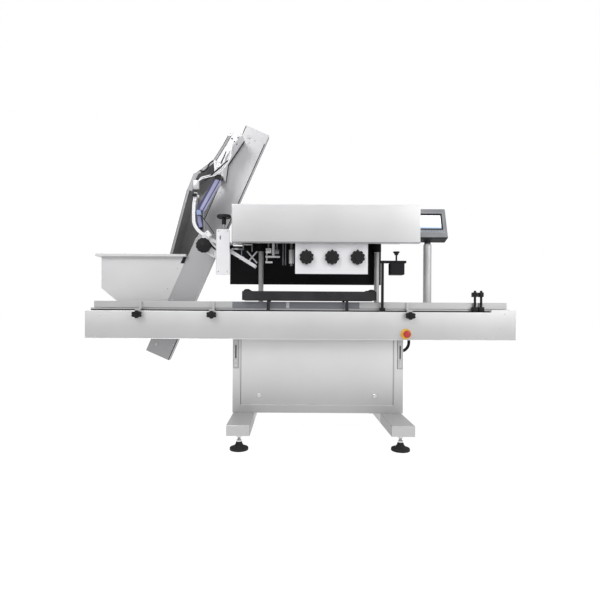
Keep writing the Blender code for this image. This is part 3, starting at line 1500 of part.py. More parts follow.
def build():
    clear_scene()
    machine = empty("machine", location=(CONVEYOR_SHIFT, 0, 0))
    head = empty("head", machine)
    elevator = empty(
        "elevator", head, (ELEVATOR_X, ELEVATOR_Y, ELEVATOR_Z), (0, ELEVATOR_TILT, 0)
    )
    slide = empty("chute_slide", head)
    swivel = empty("hmi_swivel", machine, (HMI_POST_X, HMI_POST_Y, HMI_POST_TOP))

    cabinet(machine)
    cabinet_door(machine)
    foot_beam(machine, "foot_beam_left", LEFT_BEAM_X)
    foot_beam(machine, "foot_beam_right", RIGHT_BEAM_X)
    levelling_feet(machine)
    control_backplate(machine)
    lift_actuator(machine)

    skirt(machine, "conveyor_front_skirt", FRONT_SKIRT_Y, 1)
    skirt(machine, "conveyor_rear_skirt", REAR_SKIRT_Y, -1)
    conveyor_bed(machine)
    conveyor_chain(machine)
    conveyor_shafts(machine)
    conveyor_gearmotor(machine)
    guide_rail(machine, "guide_rail_front", -1)
    guide_rail(machine, "guide_rail_rear", 1)
    guide_knobs(machine)
    gripper(machine, "gripper_front", -1)
    gripper(machine, "gripper_rear", 1)

    head_frame(head)
    lift_columns(head)
    hood(head)
    knob_plate(head)
    spindle_knobs(head)
    capping_spindles(head)
    head_gearmotor(head)

    elevator_casing(elevator)
    elevator_back_cover(elevator)
    elevator_belt(elevator)
    elevator_rollers(elevator)
    elevator_front_cover(head)
    hopper(head)
    chute_head(head)

    chute(slide)
    chute_strip(slide)
    chute_knob(slide)
    chute_post(head)
    chute_handwheel(head)

    hmi_post(machine)
    hmi_housing(swivel)
    stop_button(machine)
    sensor_stand(machine)
    cable_conduit(machine)


build()
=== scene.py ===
"""The looks of the bottle capping machine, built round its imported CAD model.

Places are in metres in the conveyor's own frame, where X = 0 is the middle of
the conveyor. SHIFT carries them into the part's frame.
"""

import math

import bmesh
import bpy
from mathutils import Matrix, Vector

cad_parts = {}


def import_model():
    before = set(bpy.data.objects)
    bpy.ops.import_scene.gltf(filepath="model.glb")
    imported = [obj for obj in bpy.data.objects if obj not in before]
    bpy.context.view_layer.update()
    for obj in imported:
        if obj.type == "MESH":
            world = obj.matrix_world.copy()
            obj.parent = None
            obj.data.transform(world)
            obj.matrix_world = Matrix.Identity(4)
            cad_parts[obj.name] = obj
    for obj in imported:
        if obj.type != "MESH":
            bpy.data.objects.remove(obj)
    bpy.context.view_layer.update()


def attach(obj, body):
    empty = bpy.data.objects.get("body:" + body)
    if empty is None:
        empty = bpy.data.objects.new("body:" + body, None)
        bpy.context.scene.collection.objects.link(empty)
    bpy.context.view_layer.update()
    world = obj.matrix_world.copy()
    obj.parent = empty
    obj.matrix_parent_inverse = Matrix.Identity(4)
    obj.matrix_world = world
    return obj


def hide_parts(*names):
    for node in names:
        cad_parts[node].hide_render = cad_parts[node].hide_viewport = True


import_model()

SHIFT = 0.0125
TILT = math.radians(23.7)
ELEVATOR = Matrix.Translation((-0.928 + SHIFT, -0.1, 0.488)) @ Matrix.Rotation(TILT, 4, "Y")
MACHINE = Matrix.Translation((SHIFT, 0, 0))
STATIONS = (0.031, 0.171, 0.311)
RAIL_STATIONS = (-0.903, -0.491, 0.606)
BRACKETS_X = (-0.368, 0.577)
SENSORS_X = (0.984, 1.019)
PANEL_X = 0.772
SKIRT_FACE = -0.315
SKIRT_BACK = -0.125
DECK_TOP = 1.177
CORNERS = ((-1, -1), (1, -1), (-1, 1), (1, 1))
SHARP_ANGLE = math.radians(35)
PICTURE = 600

# Camera, matched to the photograph
camera_data = bpy.data.cameras.new("camera")
camera_data.lens = 26.94
camera_data.sensor_width = 36
camera_data.shift_x = 10 / PICTURE
camera_data.shift_y = 12 / PICTURE
camera = bpy.data.objects.new("camera", camera_data)
bpy.context.scene.collection.objects.link(camera)
camera.location = (-0.058 + SHIFT, -2.815, 0.724)
camera.rotation_euler = (math.radians(90), math.radians(-0.33), 0)
bpy.context.scene.camera = camera


# Materials


def feed(tree, node, *ordered, **named):
    """Sets a node's inputs, in order or by name, and links those given as an output.

    An underscore in a name stands for a space.
    """
    inputs = [*enumerate(ordered), *((key.replace("_", " "), named[key]) for key in named)]
    for key, value in inputs:
        if isinstance(value, bpy.types.NodeSocket):
            tree.links.new(value, node.inputs[key])
        else:
            node.inputs[key].default_value = value
    return node


def add(tree, kind, *ordered, **named):
    return feed(tree, tree.nodes.new("ShaderNode" + kind), *ordered, **named)


def calculate(tree, operation, first, second):
    node = add(tree, "Math", first, second)
    node.operation = operation
    return node.outputs[0]


def height_in(tree, space):
    place = add(tree, "TexCoord").outputs[space]
    return add(tree, "SeparateXYZ", place).outputs["Z"]


def noise(tree, scale, detail, stretch=(1, 1, 1)):
    """A noise texture in object space, stretched along an axis where a factor is small."""
    place = add(tree, "TexCoord").outputs["Object"]
    mapping = add(tree, "Mapping", Vector=place, Scale=stretch).outputs["Vector"]
    return add(tree, "TexNoise", Vector=mapping, Scale=scale, Detail=detail).outputs["Fac"]


def spread_to(tree, value, low, high, source_low=0.3, source_high=0.7):
    """Carries a value from its own range to another, and holds it there."""
    return add(tree, "MapRange", Value=value, From_Min=source_low, From_Max=source_high,
               To_Min=low, To_Max=high).outputs["Result"]


def mixed(tree, factor, first, second, blend="MIX"):
    node = tree.nodes.new("ShaderNodeMix")
    node.data_type = "RGBA"
    node.blend_type = blend
    return feed(tree, node, Factor=factor, A=first, B=second).outputs["Result"]


def ramp(tree, value, stops):
    """A colour ramp over a value, from pairs of position and colour."""
    node = add(tree, "ValToRGB", value)
    elements = node.color_ramp.elements
    while len(elements) < len(stops):
        elements.new(0.5)
    for element, (position, colour) in zip(elements, stops):
        element.position = position
        element.color = (*colour, 1)
    return node.outputs["Color"]


def height_ramp(tree, stops):
    """A grey that follows the height, from pairs of height and share."""
    low, high = stops[0][0], stops[-1][0]
    level = spread_to(tree, height_in(tree, "Object"), 0.0, 1.0, low, high)
    return ramp(tree, level, [((at - low) / (high - low), (share,) * 3) for at, share in stops])


def scaled(colour, share, lift=0.0):
    return tuple(min(c * share + lift, 1) for c in colour)


def tint(tree, shader, value, dark, light):
    feed(tree, shader, Base_Color=mixed(tree, value, (*dark, 1), (*light, 1)))


def bump(tree, shader, height, strength, distance):
    node = add(tree, "Bump", Strength=strength, Distance=distance, Height=height)
    feed(tree, shader, Normal=node.outputs["Normal"])


def principled(name, colour, roughness, metallic, shine=0.5):
    material = bpy.data.materials.new(name)
    material.use_nodes = True
    tree = material.node_tree
    shader = feed(tree, tree.nodes["Principled BSDF"], Base_Color=(*colour, 1),
                  Roughness=roughness, Metallic=metallic, Specular_IOR_Level=shine)
    return material, tree, shader


def brushed(name, colour, roughness=0.34, metallic=0.6, along="X", grain=1.0, stops=None):
    """Satin sheet steel with a grain along one axis and a little unevenness.

    stops gives pairs of height and share of the colour: painted light and shade, a
    gradient painted into the colour by height for the light that a large sheet takes from the
    room.
    """
    material, tree, shader = principled(name, colour, roughness, metallic)
    stretch = {"X": (0.02, 1, 1), "Y": (1, 0.02, 1), "Z": (1, 1, 0.02)}[along]
    lines = noise(tree, 420, 3, stretch)
    clouds = noise(tree, 3.2, 3)
    surface = mixed(tree, spread_to(tree, clouds, 0.0, 1.0, 0.35, 0.65),
                    (*scaled(colour, 0.95), 1), (*colour, 1))
    # Painted light and shade: the colour is darkened by height with the stops.
    if stops:
        surface = mixed(tree, 1, surface, height_ramp(tree, stops), "MULTIPLY")
    rough = calculate(tree, "ADD", spread_to(tree, lines, roughness - 0.05, roughness + 0.05),
                      spread_to(tree, clouds, -0.02, 0.03))
    feed(tree, shader, Base_Color=surface, Roughness=rough)
    bump(tree, shader, lines, 0.05 * grain, 0.0004)
    return material


def moulded(name, colour, roughness=0.45, texture=260, depth=0.12, coat=0.0, shine=0.5):
    """Moulded plastic or rubber with a fine skin texture."""
    material, tree, shader = principled(name, colour, roughness, 0.0, shine)
    grain = noise(tree, texture, 6)
    tint(tree, shader, spread_to(tree, noise(tree, 9, 4), 0.0, 1.0, 0.35, 0.7),
         scaled(colour, 0.82), scaled(colour, 1.15, 0.004))
    feed(tree, shader, Roughness=spread_to(tree, grain, roughness - 0.06, roughness + 0.08))
    bump(tree, shader, grain, depth, 0.0006)
    if coat:
        feed(tree, shader, Coat_Weight=coat, Coat_Roughness=0.15)
    return material


def painted(name, colour, roughness=0.42, shine=0.5):
    """Powder coat: a soft orange peel over metal."""
    material, tree, shader = principled(name, colour, roughness, 0.0, shine)
    wear = noise(tree, 5, 5)
    tint(tree, shader, spread_to(tree, wear, 0.0, 1.0, 0.35, 0.7),
         scaled(colour, 0.9), scaled(colour, 1.1))
    feed(tree, shader, Roughness=spread_to(tree, wear, roughness - 0.05, roughness + 0.08))
    bump(tree, shader, noise(tree, 140, 2), 0.15, 0.0005)
    return material


def polished(name, colour, roughness=0.14):
    """Bare bright metal with a faint haze."""
    material, tree, shader = principled(name, colour, roughness, 1.0)
    haze = noise(tree, 30, 5)
    feed(tree, shader, Roughness=spread_to(tree, haze, roughness - 0.04, roughness + 0.08))
    tint(tree, shader, spread_to(tree, haze, 0.0, 1.0), scaled(colour, 0.94), colour)
    return material


def screen_material():
    """A lit panel screen: a pale page with a soft blue band along its foot."""
    material, tree, shader = principled("screen", (0.8, 0.82, 0.86), 0.18, 0.0)
    band = spread_to(tree, height_in(tree, "Generated"), 0.0, 1.0, 0.1, 0.24)
    page = mixed(tree, band, (0.42, 0.52, 0.72, 1), (0.9, 0.91, 0.94, 1))
    feed(tree, shader, Base_Color=page, Emission_Color=page, Emission_Strength=0.45)
    bump(tree, shader, noise(tree, 900, 2), 0.02, 0.0001)
    return material


STEEL = brushed("stainless_sheet", (0.52, 0.52, 0.525), 0.36, 0.55, "X")
# Painted shade: the skirt's stops darken it towards its foot.
STEEL_SKIRT = brushed("stainless_skirt", (0.71, 0.71, 0.715), 0.36, 0.5, "X",
                      stops=((0.571, 0.71), (0.64, 0.78), (0.727, 1.0)))
# Painted reflection and shade: the hood's stops darken it towards its lower lip, for the room's
# light on the sheet.
STEEL_HOOD = brushed("stainless_hood", (0.715, 0.715, 0.72), 0.34, 0.5, "X",
                     stops=((1.101, 0.77), (1.19, 0.87), (1.28, 1.0)))
# Painted shade: the cabinet's stops darken it towards its foot, where less light falls.
STEEL_CABINET = brushed("stainless_cabinet", (0.74, 0.74, 0.74), 0.38, 0.45, "Z",
                        stops=((0.15, 0.55), (0.216, 0.6), (0.33, 0.79), (0.5, 1.0)))
# Painted shade: a dark copy of the stainless sheet, for pieces that stand in shade.
STEEL_DARK = brushed("stainless_shaded", (0.3, 0.3, 0.31), 0.38, 0.6, "Z")
# Painted light and shade: the elevator's stops give a band of painted shade near 1.33 m and a
# painted highlight from 1.47 to 1.58 m.
STEEL_ELEVATOR = brushed("stainless_elevator", (0.665, 0.665, 0.68), 0.36, 0.5, "Z",
                         stops=((0.55, 0.615), (1.05, 0.655), (1.33, 0.64), (1.4, 0.81),
                                (1.47, 1.0), (1.58, 1.0), (1.76, 0.88)))
# Painted shade: the elevator front cover's inside face, dark as it lies in shade, and darker
# still below 1.42 m.
STEEL_COVER = brushed("stainless_cover_shade", (0.42, 0.42, 0.425), 0.4, 0.35, "Z",
                      stops=((1.07, 0.76), (1.25, 0.74), (1.42, 1.0), (1.8, 1.0)))
STEEL_HOPPER = brushed("stainless_hopper", (0.64, 0.64, 0.645), 0.38, 0.5, "X")
STEEL_POST = brushed("satin_post", (0.6, 0.6, 0.605), 0.42, 0.35, "Z", 0.2)
PALE = brushed("stainless_pale", (0.74, 0.74, 0.76), 0.4, 0.35, "X", 0.6)
BRIGHT = brushed("bright_sheet", (0.82, 0.82, 0.83), 0.35, 0.3, "X", 0.4)
OLIVE = brushed("shaded_plate", (0.33, 0.33, 0.31), 0.45, 0.4, "Z", 0.5)
# Painted shade: a dark blue grey sheet for the front rail where it lies in shade.
BLUE_GREY = brushed("blue_grey_shade_sheet", (0.185, 0.192, 0.212), 0.4, 0.4, "X", 0.5)
# Painted highlight: bright polished metal for the light along the hood's corner.
HIGHLIGHT_EDGE = polished("edge_highlight", (0.86, 0.86, 0.87), 0.22)
ALUMINIUM = brushed("cast_aluminium", (0.5, 0.51, 0.52), 0.45, 0.6, "Y", 0.5)
ZINC = polished("zinc_fasteners", (0.66, 0.66, 0.67), 0.25)
BLACK = moulded("black_plastic", (0.009, 0.009, 0.01), 0.5, 300, 0.1, shine=0.2)
BLACK_GLOSS = moulded("black_gloss", (0.01, 0.01, 0.011), 0.34, 500, 0.04, 0.0, 0.3)
PAINT = painted("black_paint", (0.01, 0.01, 0.012), 0.55, 0.15)
RUBBER = moulded("black_rubber", (0.022, 0.022, 0.024), 0.72, 180, 0.35, shine=0.2)
GREY = moulded("grey_plastic", (0.4, 0.41, 0.43), 0.42, 240, 0.1)
BEZEL = moulded("bezel_plastic", (0.235, 0.24, 0.252), 0.48, 400, 0.06, shine=0.3)
KEYS = moulded("key_plastic", (0.3, 0.328, 0.385), 0.42, 400, 0.04)
HOUSING = moulded("housing_plastic", (0.014, 0.015, 0.018), 0.48, 300, 0.08, shine=0.2)
CHAIN = brushed("slat_steel", (0.42, 0.42, 0.43), 0.4, 0.8, "Y", 0.8)
BELT = moulded("white_belt", (0.66, 0.67, 0.66), 0.55, 160, 0.2)
LAVENDER = moulded("lavender_film", (0.3, 0.3, 0.45), 0.38, 120, 0.05)
INDIGO = moulded("indigo_film", (0.2, 0.21, 0.36), 0.38, 120, 0.05)
INDIGO_DARK = moulded("indigo_edge", (0.035, 0.038, 0.13), 0.4, 120, 0.05)
BLUE = moulded("blue_plastic", (0.26, 0.34, 0.56), 0.4, 200, 0.05)
BLUE_PALE = moulded("blue_guard", (0.46, 0.52, 0.74), 0.34, 120, 0.05, 0.3)
WHITE = moulded("white_plastic", (0.76, 0.76, 0.77), 0.36, 240, 0.06)
RED = moulded("red_plastic", (0.42, 0.018, 0.016), 0.34, 300, 0.04, 0.2)
YELLOW = moulded("yellow_plastic", (0.8, 0.42, 0.02), 0.36, 300, 0.06, 0.2)
GREEN = moulded("green_belt", (0.03, 0.22, 0.16), 0.55, 200, 0.15)
SCREEN = screen_material()


# Shapes: each of these gives a bmesh, and piece() turns several into one object


def loose():
    return bmesh.new()


def bx(low, high, bevel=0.001, steps=2):
    shape = loose()
    bmesh.ops.create_cube(shape, size=1)
    for vert in shape.verts:
        vert.co = Vector([high[i] if vert.co[i] > 0 else low[i] for i in range(3)])
    if bevel:
        bmesh.ops.bevel(shape, geom=list(shape.edges), offset=bevel, segments=steps,
                        affect="EDGES", profile=0.5)
    return shape


def bar(low, high, bevel=0.0003):
    """A thin box, with a single facet along each edge."""
    return bx(low, high, bevel, 1)


def spread(axis, along, point):
    a, b = point
    return Vector({"X": (along, a, b), "Y": (a, along, b), "Z": (a, b, along)}[axis])


def ext(outline, axis, low, high, bevel=0.0, steps=2):
    shape = loose()
    face = shape.faces.new([shape.verts.new(spread(axis, low, p)) for p in outline])
    made = bmesh.ops.extrude_face_region(shape, geom=[face])["geom"]
    step = Vector([(high - low) if axis == name else 0 for name in "XYZ"])
    bmesh.ops.translate(shape, vec=step,
                        verts=[v for v in made if isinstance(v, bmesh.types.BMVert)])
    if bevel:
        rims = [e for e in shape.edges
                if abs((e.verts[0].co - e.verts[1].co).normalized().dot(step.normalized())) < 0.5]
        bmesh.ops.bevel(shape, geom=rims, offset=bevel, segments=steps, affect="EDGES",
                        profile=0.5)
    bmesh.ops.recalc_face_normals(shape, faces=shape.faces)
    return shape


def rev(profile, axis, centre, steps=40):
    """A body of revolution from (radius, height) pairs."""
    shape = loose()
    verts = [shape.verts.new((r, 0, h)) for r, h in profile]
    edges = [shape.edges.new(pair) for pair in zip(verts, verts[1:])]
    bmesh.ops.spin(shape, geom=verts + edges, axis=(0, 0, 1), cent=(0, 0, 0),
                   angle=math.tau, steps=steps, use_duplicate=False)
    bmesh.ops.remove_doubles(shape, verts=shape.verts, dist=1e-6)
    bmesh.ops.recalc_face_normals(shape, faces=shape.faces)
    return turned(shape, axis, centre)


def turned(shape, axis, centre):
    """Moves a shape made about Z to a centre, about another axis or a direction."""
    if isinstance(axis, str):
        axis = {"X": (1, 0, 0), "Y": (0, 1, 0), "Z": (0, 0, 1), "-Y": (0, -1, 0)}[axis]
    turn = Vector((0, 0, 1)).rotation_difference(Vector(axis)).to_matrix().to_4x4()
    shape.transform(Matrix.Translation(centre) @ turn)
    return shape


def rod(axis, centre, radius, low, high, steps=32, bevel=0.0006):
    b = min(bevel, radius * 0.3)
    return rev([(0, low), (radius - b, low), (radius, low + b), (radius, high - b),
                (radius - b, high), (0, high)], axis, centre, steps)


def skin(shape, rings):
    """Faces between each closed ring of vertices and the next."""
    for first, second in zip(rings, rings[1:]):
        count = len(first)
        for k in range(count):
            shape.faces.new((first[k], first[(k + 1) % count], second[(k + 1) % count],
                             second[k]))


def pipe(points, radius, steps=14):
    """A round tube along a path."""
    shape = loose()
    points = [Vector(p) for p in points]
    rings = []
    side = None
    for index, point in enumerate(points):
        ahead = points[min(index + 1, len(points) - 1)] - points[max(index - 1, 0)]
        ahead.normalize()
        if side is None:
            side = ahead.orthogonal().normalized()
        side = (side - ahead * side.dot(ahead)).normalized()
        other = ahead.cross(side)
        rings.append([
            shape.verts.new(point + (side * math.cos(a) + other * math.sin(a)) * radius)
            for a in (math.tau * k / steps for k in range(steps))
        ])
    skin(shape, rings)
    shape.faces.new(list(reversed(rings[0])))
    shape.faces.new(rings[-1])
    bmesh.ops.recalc_face_normals(shape, faces=shape.faces)
    return shape


def arc(centre, radius, start, end, steps):
    return [
        (centre[0] + radius * math.cos(math.radians(start + (end - start) * k / steps)),
         centre[1] + radius * math.sin(math.radians(start + (end - start) * k / steps)))
        for k in range(steps + 1)
    ]


def rounded_path(points, radii, steps=14):
    path = [Vector(points[0])]
    for before, corner, after, radius in zip(points, points[1:], points[2:], radii):
        before, corner, after = Vector(before), Vector(corner), Vector(after)
        back = (before - corner).normalized()
        ahead = (after - corner).normalized()
        half = back.angle(ahead) / 2
        reach = radius / math.tan(half)
        centre = corner + (back + ahead).normalized() * (radius / math.sin(half))
        start = corner + back * reach - centre
        turn = start.angle_signed(corner + ahead * reach - centre)
        for step in range(steps + 1):
            path.append(centre + Matrix.Rotation(-turn * step / steps, 2) @ start)
    path.append(Vector(points[-1]))
    return path


def offset_path(path, distance):
    path = [Vector(point) for point in path]
    moved = []
    for index, point in enumerate(path):
        sides = []
        for a, b in ((index - 1, index), (index, index + 1)):
            if a >= 0 and b < len(path):
                step = (path[b] - path[a]).normalized()
                sides.append(Vector((-step.y, step.x)))
        middle = sum(sides, Vector((0, 0))).normalized()
        moved.append(point + middle * (distance / middle.dot(sides[0])))
    return moved


def sheet(path, thickness):
    return [tuple(p) for p in path] + [tuple(p) for p in reversed(offset_path(path, thickness))]


def slab(outline, y_low, y_high, bevel=0.0008):
    return ext(outline, "Y", y_low, y_high, bevel, 1)


def edge_strip(path, inset, width, y_low, y_high):
    """A thin strip that follows a path of the XZ plane."""
    return slab(sheet(offset_path(path, -inset), width), y_low, y_high, 0.0003)


def rods(points, y, radius, steps=12):
    """A thin rod through points of the XZ plane at one depth."""
    return pipe([(x, y, z) for x, z in points], radius, steps)


def round_box(low, high, radius, steps=6):
    (left, bottom), (right, top) = low, high
    points = []
    for x, y, start in ((right - radius, bottom + radius, -90), (right - radius, top - radius, 0),
                        (left + radius, top - radius, 90), (left + radius, bottom + radius, 180)):
        points += arc((x, y), radius, start, start + 90, steps)
    return points


def lobed(centre, radius, lobes, depth, per_lobe=12):
    points = []
    for step in range(lobes * per_lobe):
        angle = math.tau * step / (lobes * per_lobe)
        hollow = (0.5 + 0.5 * math.cos(lobes * angle)) ** 2
        reach = radius - depth * hollow
        points.append((centre[0] + reach * math.cos(angle), centre[1] + reach * math.sin(angle)))
    return points


def ring(axis, centre, inner, outer, low, high, steps=36):
    return rev([(inner, low), (outer, low), (outer, high), (inner, high), (inner, low)],
               axis, centre, steps)


def socket_screw(centre, facing, radius, height):
    """A socket head cap screw that stands up from a face."""
    return rev([(0, height * 0.35), (radius * 0.5, height * 0.35), (radius * 0.55, height),
                (radius * 0.9, height), (radius, height * 0.85), (radius, 0), (0, 0)],
               facing, centre, 24)


def button_screw(centre, facing, radius, height):
    """A domed screw with a drive recess."""
    return rev([(0, height * 0.45), (radius * 0.4, height * 0.45), (radius * 0.44, height),
                (radius * 0.75, height * 0.82), (radius * 0.95, height * 0.4), (radius, 0),
                (0, 0)], facing, centre, 24)


def front_screws(places, y, radius, height=0.0025):
    return [button_screw((x, y, z), "-Y", radius, height) for x, z in places]


def thread(low, high, pitch, crest, root):
    """The profile of a threaded length, as rings."""
    profile = []
    while low < high:
        profile += [(crest, low), (root, low + pitch / 2)]
        low += pitch
    return profile


def hexagon(radius):
    return [(radius * math.cos(a), radius * math.sin(a))
            for a in (math.tau * k / 6 for k in range(6))]


def hex_head(centre, facing, width, height, washer=True):
    """A hexagon head on its washer."""
    radius = width / 2 / math.cos(math.pi / 6)
    shape = ext(hexagon(radius), "Z", 0.0012 if washer else 0, height, 0.0006, 1)
    if washer:
        merge(shape, rev([(0, 0), (width * 0.72, 0), (width * 0.72, 0.0012), (0, 0.0012)],
                         "Z", (0, 0, 0), 24))
    return turned(shape, facing, centre)


def merge(shape, other):
    mesh = bpy.data.meshes.new("part")
    other.to_mesh(mesh)
    other.free()
    shape.from_mesh(mesh)
    bpy.data.meshes.remove(mesh)
    return shape


def moved(shape, matrix):
    shape.transform(matrix)
    return shape


def piece(name, body, material, shapes, base=MACHINE, replaces=()):
    """One object from several shapes, riding on a CAD body."""
    whole = shapes[0]
    for shape in shapes[1:]:
        merge(whole, shape)
    whole.transform(base)
    mesh = bpy.data.meshes.new(name)
    whole.to_mesh(mesh)
    whole.free()
    mesh.shade_smooth()
    mesh.set_sharp_from_angle(angle=SHARP_ANGLE)
    made = bpy.data.objects.new(name, mesh)
    bpy.context.scene.collection.objects.link(made)
    made.data.materials.append(material)
    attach(made, body)
    if replaces:
        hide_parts(*replaces)
    return made


def black_knob(name, node, shapes, material=BLACK):
    piece(name, node, material, shapes, replaces=[node])


def dress(node, material):
    """Gives a CAD node its finish; some finishes carry painted light and shade."""
    target = bpy.data.objects[node]
    target.data.materials.clear()
    target.data.materials.append(material)


# CAD nodes that keep their shape


SIDES = ("left", "right")
ROWS = ("front", "rear")
for finish, nodes in (
    (STEEL_CABINET, "cabinet cabinet_door"),
    (STEEL, "foot_beam_left foot_beam_right guide_rail_front guide_rail_rear "
            "elevator_top_roller elevator_bottom_roller"),
    (STEEL_SKIRT, "conveyor_front_skirt conveyor_rear_skirt"),
    (ALUMINIUM, "lift_actuator conveyor_bed conveyor_gearmotor head_gearmotor"),
    (CHAIN, "conveyor_chain"),
    (PAINT, "head_frame sensor_stand"),
    (STEEL_POST, "lift_columns hmi_post"),
    (STEEL_HOOD, "hood"),
    (PALE, "knob_plate chute_head chute_channel chute_post"),
    (INDIGO_DARK, "chute_strip"),
    (STEEL_ELEVATOR, "elevator_casing"),
    (STEEL_COVER, "elevator_front_cover"),
    (BRIGHT, "elevator_back_cover"),
    (BELT, "elevator_belt"),
    (STEEL_HOPPER, "hopper"),
    (GREY, "control_backplate"),
    (HOUSING, "hmi_housing"),
    (RUBBER, "gripper_front gripper_rear"),
    (YELLOW, "stop_collar"),
    (RED, "stop_button"),
    (ZINC, "door_lock_left door_lock_right"),
    (BLACK, "conveyor_drive_shaft conveyor_idler_shaft chute_handwheel chute_knob "
            "stand_wing_knob cable_conduit"),
):
    for node_name in nodes.split():
        dress(node_name, finish)
for row in ROWS:
    for number in (1, 2, 3):
        dress(f"capping_spindle_{row}_{number}", RUBBER)
    for side in SIDES:
        dress(f"levelling_foot_{row}_{side}", BLACK)
for number in (1, 2, 3):
    dress(f"spindle_knob_{number}", BLACK)
    dress(f"guide_knob_{number}", BLACK)


# Levelling feet


def foot(row, side, x, y):
    pad = [(0, 0), (0.0485, 0), (0.049, 0.001), (0.049, 0.009), (0.0475, 0.0125),
           (0.042, 0.0145), (0.033, 0.0165), (0.026, 0.021), (0.019, 0.03), (0.0165, 0.037),
           (0.015, 0.041), (0.0105, 0.0428), (0, 0.043)]
    piece(f"foot_pad_{row}_{side}", f"foot_{row}_{side}", RUBBER, [rev(pad, "Z", (x, y, 0), 56)],
          replaces=[f"levelling_foot_{row}_{side}"])
    threads = [(0, 0.04), (0.0078, 0.04), *thread(0.052, 0.117, 0.002, 0.008, 0.007),
               (0.007, 0.1185), (0, 0.1185)]
    piece(f"foot_stud_{row}_{side}", f"foot_{row}_{side}", ZINC,
          [rev(threads, "Z", (x, y, 0), 24),
           hex_head((x, y, 0.0425), "Z", 0.024, 0.009, False)])
    piece(f"foot_nut_{row}_{side}", "machine", ZINC,
          [moved(ext(hexagon(0.0137), "Z", 0.066, 0.0758, 0.0008),
                 Matrix.Translation((x, y, 0)))])


for row, y in (("front", -0.453), ("rear", 0.453)):
    for side, x in (("left", -0.322), ("right", 0.527)):
        foot(row, side, x, y)


# Star and lobed knobs


def spindle_knob(number, x):
    z = 1.025
    grip = ext(lobed((x, z), 0.0395, 10, 0.0055), "Y", -0.3663, -0.3443, 0.0022, 3)
    cap = rev([(0, -0.3705), (0.0195, -0.37), (0.0215, -0.3675), (0.0215, -0.35), (0, -0.35)],
              "Y", (x, 0, z), 40)
    hub = rod("Y", (x, 0, z), 0.016, -0.345, -0.3403)
    shaft = rod("Y", (x, 0, z), 0.006, -0.345, -0.3103)
    pointer = ext([(x - 0.0075, 1.0595), (x + 0.0075, 1.0595), (x, 1.0705)], "Y", -0.36, -0.3463,
                  0.0006)
    black_knob(f"lobed_knob_{number}", f"spindle_knob_{number}", [grip, cap, hub, shaft, pointer])


for number, x in enumerate(STATIONS, 1):
    spindle_knob(number, x)


GRIP_STRETCH = 1.35


def guide_knob(number, x):
    z, face = 0.7065, -0.3246
    grip = ext(lobed((x, z), 0.0215, 6, 0.004), "Y", face - 0.026, face - 0.01, 0.002, 3)
    for vert in grip.verts:
        vert.co.x = x + (vert.co.x - x) * GRIP_STRETCH
    hub = rev([(0, face - 0.031), (0.0075, face - 0.0305), (0.0098, face - 0.027),
               (0.0098, face), (0.004, face), (0.004, face + 0.0075), (0, face + 0.0075)],
              "Y", (x, 0, z), 32)
    black_knob(f"star_knob_{number}", f"guide_knob_{number}", [grip, hub])


for number, x in enumerate(RAIL_STATIONS, 1):
    guide_knob(number, x)


# Chute knob and handwheel


def chute_knob():
    x, z, back = -0.55, 1.099, -0.2523
    grip = ext(lobed((x, z), 0.0425, 12, 0.0028), "Y", back - 0.03, back - 0.008, 0.003, 3)
    hub = rev([(0, back - 0.0335), (0.012, back - 0.033), (0.0175, back - 0.03),
               (0.0175, back - 0.006), (0.014, back), (0.005, back), (0.005, back + 0.0098),
               (0, back + 0.0098)], "Y", (x, 0, z), 40)
    black_knob("chute_grip", "chute_knob", [grip, hub])


chute_knob()


def handwheel():
    x, y, low = -0.436, -0.266, 1.255
    rim = rev([(0.03, low + 0.004), (0.0335, low + 0.001), (0.0375, low), (0.0395, low + 0.002),
               (0.0405, low + 0.007), (0.04, low + 0.013), (0.0375, low + 0.0165),
               (0.0335, low + 0.0165), (0.03, low + 0.0135), (0.012, low + 0.0145),
               (0.012, low + 0.0195), (0, low + 0.02), (0, low - 0.038), (0.01, low - 0.038),
               (0.0125, low - 0.036), (0.013, low + 0.002), (0.03, low + 0.004)], "Z",
              (x, y, 0), 64)
    black_knob("handwheel", "chute_handwheel", [rim], BLACK_GLOSS)
    threads = [(0, 0.955), (0.0075, 0.955), *thread(0.958, 1.212, 0.003, 0.0088, 0.0078),
               (0.0085, 1.2175), (0, 1.2175)]
    piece("chute_screw", "chute_handwheel", ZINC, [rev(threads, "Z", (x, y, 0), 28)])


handwheel()


# Touch panel


def border(half, side, foot, head, y_low, y_high, bevel):
    """Four bars round an opening; foot and head are the heights of the level ones."""
    bars = ((-half, half, *foot), (-half, half, *head),
            (-half, side - half, foot[1], head[0]), (half - side, half, foot[1], head[0]))
    return [bar((left, y_low, low), (right, y_high, high), bevel)
            for left, right, low, high in bars]


